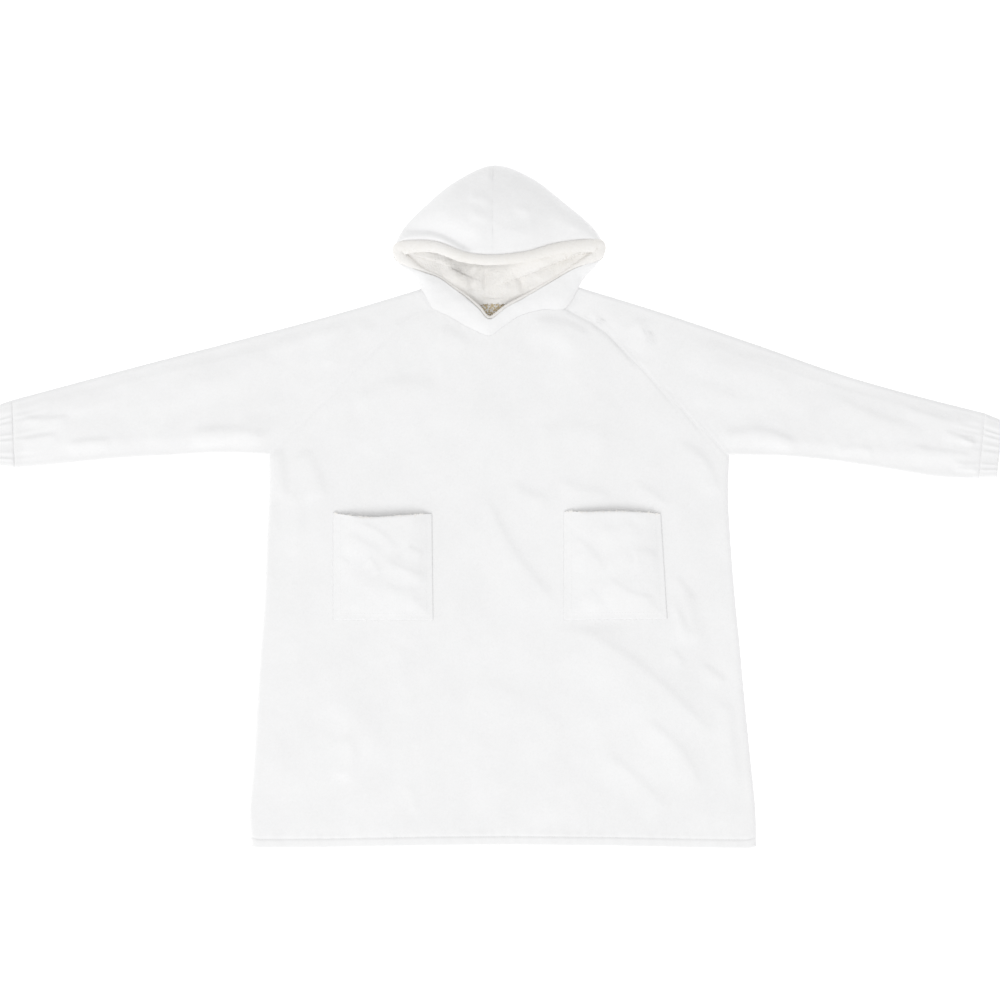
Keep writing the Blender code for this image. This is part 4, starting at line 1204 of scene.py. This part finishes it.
def make_hood_half(name, side, seed):
    """One half of the outer hood: crown and folded base as a cloth of its own thickness."""
    crown, edge, edge_height = hood_crown(side, seed)
    neck_rows = SHOULDER_STATION * STATION_CELLS
    base = hood_base(side, edge[: neck_rows + 1], edge_height[: neck_rows + 1])
    rows, columns = crown.shape[:2]
    width = base.shape[1]
    offset = rows * columns
    here = np.arange(neck_rows) * columns + columns - 1
    under = offset + np.arange(neck_rows) * width
    bridge = np.stack((here, here + columns, under + width, under), axis=-1)
    base_faces = grid_faces(neck_rows + 1, width, offset)
    faces = np.vstack((grid_faces(rows, columns), bridge, base_faces))
    if side < 0:
        faces = faces[:, ::-1]
    vertices = np.vstack((crown.reshape(-1, 3), base.reshape(-1, 3)))
    mesh = new_mesh(f"hood_{name}_half", vertices, [], faces, [flannel(), sherpa()])
    mesh.shade_smooth()
    half = put_object(mesh.name, mesh)
    weights = np.ones(len(vertices))
    weights[:columns] = 0.0
    weights[offset : offset + width] = 0.0
    weights[offset + width - 1 :: width] = 0.0
    weights[(rows - 1) * columns : offset] = 0.0
    group = half.vertex_groups.new(name="thickness")
    for index, weight in enumerate(weights):
        group.add([index], float(weight), "REPLACE")
    cloth = half.modifiers.new("cloth", "SOLIDIFY")
    cloth.thickness = bpy.context.scene.hoodie_cloth.hood_thickness
    cloth.offset = -1.0
    cloth.vertex_group = group.name
    cloth.thickness_vertex_group = THIN_EDGE
    cloth.material_offset = 1
    solid = evaluated_mesh(half)
    half.modifiers.remove(cloth)
    half.vertex_groups.clear()
    half.data = solid
    bpy.data.meshes.remove(mesh)
    for vertex in solid.vertices:
        vertex.co.z = max(vertex.co.z, 0.0)
    solid.set_sharp_from_angle(angle=SHARP_ANGLE)
    settle(half, f"hood_{name}", f"hood_{name}")


def make_lining():
    """Sherpa lining of the hood: from the neck seam up to the roll round the face."""
    look = bpy.context.scene.hoodie_cloth
    left = roll_line(np.linspace(10.8, 4.2, 87))[0]
    right = roll_line(np.linspace(13.2, 19.8, 87))[0]
    share = even(121)
    neck = smooth_line((right[0], *LINING_NECK, left[0]), share)
    top = smooth_line((right[-1], *LINING_TOP, left[-1]), share)
    plan = blended(right, left, neck, top)
    y = plan[..., 1]
    stations = np.arange(0.0, len(HOOD) + 0.05, 0.1)
    centre, height, _ = roll_line(stations)
    away, along = line_distance(plan, centre)
    at = np.interp(along, shares_of(centre), stations)
    target = np.interp(at, stations, height) + 0.0010
    corner, climb = (
        np.interp(at, np.arange(len(table) + 1), table + table[:1])
        for table in (CORNER_SHARE, LINING_CLIMB)
    )
    floor = np.where(y < NAPE[1] + 0.004, look.body_thickness, look.hood_thickness) + SEAM_GAP
    base = look.body_thickness + SEAM_GAP + 0.0045 * ease((y - NAPE[1]) / 0.03)
    rise = climb * (target - look.lining_thickness - base)
    height = base + rise * (1 - ease(away / (0.050 + 0.036 * corner)))
    edge = ease((y - 0.346) / 0.008) * ease(away / 0.010)
    relief = edge * (fold_relief(plan, LINING_FOLDS) + soft_waves(plan, 0.03, 0.0010, 21))
    upper = height + look.lining_thickness + relief
    lower = np.maximum(height + np.minimum(relief, 0.0), floor)
    lining = shell("hood_lining_panel", plan[::-1], upper[::-1], lower[::-1], [sherpa()])
    mask = np.concatenate((np.ones(y.size), np.zeros(y.size)))
    pile = grow_tufts("hood_lining_pile", lining, mask, TUFTS, 0.0017, 12)
    settle(lining, "hood_lining", "hood_lining", pile)


def make_rim():
    """Rolled sherpa edge: a lumpy roll round the face opening, thin along the lips."""
    stations = np.arange(0.0, len(HOOD), 0.05)
    centre, height, half_width = roll_line(stations)
    angles = np.arange(28) * 2 * np.pi / 28
    around = np.outer(shares_of(np.vstack((centre, centre[:1])))[:-1], np.ones(len(angles)))
    across = np.outer(np.ones(len(stations)), angles)
    random = np.random.default_rng(31)
    lumps = np.zeros(around.shape)
    for _ in range(24):
        along_pace, round_pace = random.integers(8, 95), random.integers(0, 4)
        phase = random.uniform(0, FULL_TURN)
        lumps += np.sin(2 * np.pi * around * along_pace + across * round_pace + phase)
    swell = 1 + 0.03 * np.tanh(lumps / 3)
    half_height = np.minimum(half_width * 0.85, RIM_HEIGHT / 2)
    out = half_width[:, None] * np.cos(across) * swell
    up = half_height[:, None] * np.sin(across) * swell
    plan = centre[:, None] + face_outward(stations)[:, None] * out[..., None]
    roll = np.dstack((plan, height[:, None] + up))
    faces = ring_faces(*roll.shape[:2], closed=True)
    rim = put_mesh("hood_rim_roll", roll.reshape(-1, 3), faces, [sherpa()])
    pile = grow_tufts("hood_rim_pile", rim, np.ones(around.size), TUFTS, 0.0016, 13)
    settle(rim, "hood_rim", "hood_rim", pile)


# Pockets

def make_pocket(name, side, corners, seed):
    inner, outer, inner_foot, outer_foot = np.array(corners)
    crowd = np.array((0.0, 0.004, 0.011, 0.022, 0.036))
    share = np.concatenate((crowd, np.linspace(0.05, 0.95, 72), 1 - crowd[::-1]))
    u, v = share[None, :], share[:, None]
    mouth = inner + v * (outer - inner)
    uneven = 1 + 0.12 * np.sin(7 * share + seed)
    mouth[:, 1] -= MOUTH_SAG[name] * np.sin(np.pi * share**1.6) * uneven
    foot = inner_foot + v * (outer_foot - inner_foot)
    plan = blended(inner + v * (inner_foot - inner), outer + v * (outer_foot - outer), mouth, foot)
    wide, tall = length(plan[len(plan) // 2]), length(plan[:, 0])
    lift = MOUTH_LIFT[name] * np.sin(np.pi * u) ** 0.7 * (1 - v) ** 1.7
    lift = lift + POCKET_PUFF * np.sin(np.pi * u) * np.sin(np.pi * v)
    lower = cloth_heights()[1] + SEAM_GAP + lift
    sewn = np.minimum(np.minimum(u, 1 - u) * wide, (1 - v) * tall)
    from_mouth = v * tall * np.ones_like(u)
    inside = ease(sewn / 0.02) * ease((from_mouth + 0.004) / 0.02)
    relief = inside * (creases(plan, POCKET_CREASES) + soft_waves(plan, 0.045, 0.0008, seed))
    groove = 0.0002 * bell(sewn - 0.007, 0.0018) * ease(from_mouth / 0.02)
    pucker = 0.0002 * np.sin((plan[..., 0] - plan[..., 1]) * 430) * bell(sewn, 0.014)
    pucker = pucker * ease(sewn / 0.003)
    sewn_down = 0.06 + 0.24 * round_off(sewn, 0.0012) + 0.70 * ease(sewn / 0.045)
    turned = 0.08 + 0.92 * round_off(from_mouth + 0.0015, 0.0055)
    thickness = bpy.context.scene.hoodie_cloth.pocket_thickness
    upper = lower + thickness * np.minimum(sewn_down, turned) + relief - groove + pucker
    if side < 0:
        plan, upper, lower = plan[:, ::-1], upper[:, ::-1], lower[:, ::-1]
    pocket = shell(f"pocket_{name}_patch", plan, upper, lower, [flannel(), sherpa()])
    mask = np.zeros((2, *plan.shape[:2]))
    mask[0, :2, 3:-3] = 1.0
    mask[1, :14, 6:-6] = 1.0
    pile = grow_tufts(f"pocket_{name}_mouth_pile", pocket, mask.ravel(), MOUTH_TUFTS, 0.0020, seed)
    surface, row = np.dstack((plan, upper - HAIR / 2)), STITCH_ROW
    down, back = surface[2:-row, row], surface[2:-row, -row][::-1]
    line = np.vstack((down, surface[-row, row:-row], back))
    stitches = sew(f"pocket_{name}_stitches", line)
    settle(pocket, f"pocket_{name}", f"pocket_{name}", pile, stitches)


# Stage

def make_stage():
    scene, stage = bpy.context.scene, bpy.context.scene.hoodie_stage
    corners = [(x * FLOOR_REACH, y * FLOOR_REACH, FLOOR_LEVEL) for x, y in UNIT_CORNERS]
    paper = bpy.data.materials.new("white paper floor")
    paper.use_nodes = True
    set_inputs(paper.node_tree.nodes["Principled BSDF"], {
        "Base Color": (*stage.floor_colour, 1.0),
        "Roughness": 1.0,
        "Specular IOR Level": 0.0,
        "Emission Color": WHITE,
        "Emission Strength": stage.floor_glow,
    })
    floor = put_object("floor", new_mesh("floor", corners, [], [(0, 1, 2, 3)], [paper]))

    world = bpy.data.worlds.new("soft room")
    world.use_nodes = True
    background = world.node_tree.nodes["Background"]
    set_inputs(background, {"Color": WHITE, "Strength": stage.room_light})
    scene.world = world
    lamp = bpy.data.lights.new("soft box", "AREA")
    lamp.shape = "SQUARE"
    lamp.size = stage.box_size
    lamp.energy = stage.box_power
    light = put_object("soft box", lamp)
    light.location = stage.box_place
    aim = Vector(LAMP_AIM) - light.location
    light.rotation_euler = aim.to_track_quat("-Z", "Y").to_euler()

    lens = bpy.data.cameras.new("overhead")
    lens.sensor_width = SENSOR
    lens.lens = SENSOR * CAMERA_DISTANCE / CAMERA_SEES
    lens.clip_end = 60.0
    camera = put_object("overhead", lens)
    camera.location = CAMERA_PLACE
    scene.camera = camera
    scene.view_settings.view_transform = "Standard"
    scene.view_settings.look = "None"


# The add-on's properties, operators and panel

class HoodieCloth(bpy.types.PropertyGroup):
    body_thickness: bpy.props.FloatProperty(
        name="Body cloth", description="Thickness of the flannel bonded to sherpa",
        default=0.007, min=0.002, unit="LENGTH",
    )
    pocket_thickness: bpy.props.FloatProperty(
        name="Pocket cloth", description="Thickness of the patch pockets",
        default=0.006, min=0.002, unit="LENGTH",
    )
    hood_thickness: bpy.props.FloatProperty(
        name="Hood cloth", description="Thickness of the hood's outer cloth",
        default=0.003, min=0.001, unit="LENGTH",
    )
    lining_thickness: bpy.props.FloatProperty(
        name="Lining", description="Thickness of the hood's sherpa lining",
        default=0.0035, min=0.001, unit="LENGTH",
    )
    shell_colour: bpy.props.FloatVectorProperty(
        name="Shell colour", description="Colour of the flannel fleece",
        default=(0.885, 0.885, 0.888), subtype="COLOR", size=3,
    )
    sherpa_colour: bpy.props.FloatVectorProperty(
        name="Sherpa colour", description="Colour of the sherpa pile",
        default=(0.868, 0.856, 0.842), subtype="COLOR", size=3,
    )


class HoodieStage(bpy.types.PropertyGroup):
    floor_colour: bpy.props.FloatVectorProperty(
        name="Floor colour", description="Colour of the floor under the garment",
        default=(0.9, 0.9, 0.9), subtype="COLOR", size=3,
    )
    floor_glow: bpy.props.FloatProperty(
        name="Floor glow", description="Light the floor gives off, so that it stays white",
        default=0.5, min=0.0,
    )
    room_light: bpy.props.FloatProperty(
        name="Room light", description="Strength of the even light from all round",
        default=0.85, min=0.0,
    )
    box_power: bpy.props.FloatProperty(
        name="Soft box power", description="Power of the soft box at the lower left",
        default=430.0, min=0.0, unit="POWER",
    )
    box_size: bpy.props.FloatProperty(
        name="Soft box size", description="Width of the soft box",
        default=6.0, min=0.1, unit="LENGTH",
    )
    box_place: bpy.props.FloatVectorProperty(
        name="Soft box place", description="Where the soft box hangs",
        default=(-4.4, -7.7, 8.0), subtype="TRANSLATION", unit="LENGTH", size=3,
    )


class HOODIE_OT_front(bpy.types.Operator):
    """Make the front panel with its folds and turned hem"""
    bl_idname = "hoodie.front"
    bl_label = "Front panel"

    def execute(self, context):
        make_front()
        return {"FINISHED"}


class HOODIE_OT_back(bpy.types.Operator):
    """Make the back panel that lies on the surface"""
    bl_idname = "hoodie.back"
    bl_label = "Back panel"

    def execute(self, context):
        make_back()
        return {"FINISHED"}


class HOODIE_OT_sleeves(bpy.types.Operator):
    """Make both sleeves and their gathered cuffs"""
    bl_idname = "hoodie.sleeves"
    bl_label = "Sleeves and cuffs"

    def execute(self, context):
        make_sleeve("left", 1, SLEEVE_LEFT, CUFF_END_LEFT, 41)
        make_sleeve("right", -1, SLEEVE_RIGHT, CUFF_END_RIGHT, 47)
        return {"FINISHED"}


class HOODIE_OT_hood(bpy.types.Operator):
    """Make the two outer halves of the hood"""
    bl_idname = "hoodie.hood"
    bl_label = "Hood"

    def execute(self, context):
        make_hood_half("left", 1, 51)
        make_hood_half("right", -1, 53)
        return {"FINISHED"}


class HOODIE_OT_lining(bpy.types.Operator):
    """Make the sherpa lining and the rolled rim of the face opening"""
    bl_idname = "hoodie.lining"
    bl_label = "Lining and rim"

    def execute(self, context):
        make_lining()
        make_rim()
        return {"FINISHED"}


class HOODIE_OT_pockets(bpy.types.Operator):
    """Make both patch pockets"""
    bl_idname = "hoodie.pockets"
    bl_label = "Pockets"

    def execute(self, context):
        make_pocket("left", 1, POCKET_LEFT, 61)
        make_pocket("right", -1, POCKET_RIGHT, 67)
        return {"FINISHED"}


class HOODIE_OT_stage(bpy.types.Operator):
    """Set the floor, the light and the overhead camera"""
    bl_idname = "hoodie.stage"
    bl_label = "Stage"

    def execute(self, context):
        make_stage()
        return {"FINISHED"}


class HOODIE_PT_panel(bpy.types.Panel):
    bl_idname = "HOODIE_PT_panel"
    bl_label = "Blanket hoodie"
    bl_space_type = "VIEW_3D"
    bl_region_type = "UI"
    bl_category = "Hoodie"

    def draw(self, context):
        for settings in (context.scene.hoodie_cloth, context.scene.hoodie_stage):
            for name in settings.__annotations__:
                self.layout.prop(settings, name)
        for operator in OPERATORS:
            self.layout.operator(operator.bl_idname)


OPERATORS = (
    HOODIE_OT_stage,
    HOODIE_OT_back,
    HOODIE_OT_front,
    HOODIE_OT_sleeves,
    HOODIE_OT_hood,
    HOODIE_OT_lining,
    HOODIE_OT_pockets,
)
CLASSES = (HoodieCloth, HoodieStage, *OPERATORS, HOODIE_PT_panel)


def register():
    for item in CLASSES:
        bpy.utils.register_class(item)
    bpy.types.Scene.hoodie_cloth = bpy.props.PointerProperty(type=HoodieCloth)
    bpy.types.Scene.hoodie_stage = bpy.props.PointerProperty(type=HoodieStage)


def unregister():
    del bpy.types.Scene.hoodie_stage
    del bpy.types.Scene.hoodie_cloth
    for item in reversed(CLASSES):
        bpy.utils.unregister_class(item)


def main():
    register()
    bpy.ops.hoodie.stage()
    bpy.ops.hoodie.back()
    bpy.ops.hoodie.front()
    bpy.ops.hoodie.sleeves()
    bpy.ops.hoodie.hood()
    bpy.ops.hoodie.lining()
    bpy.ops.hoodie.pockets()


if __name__ == "__main__":
    main()
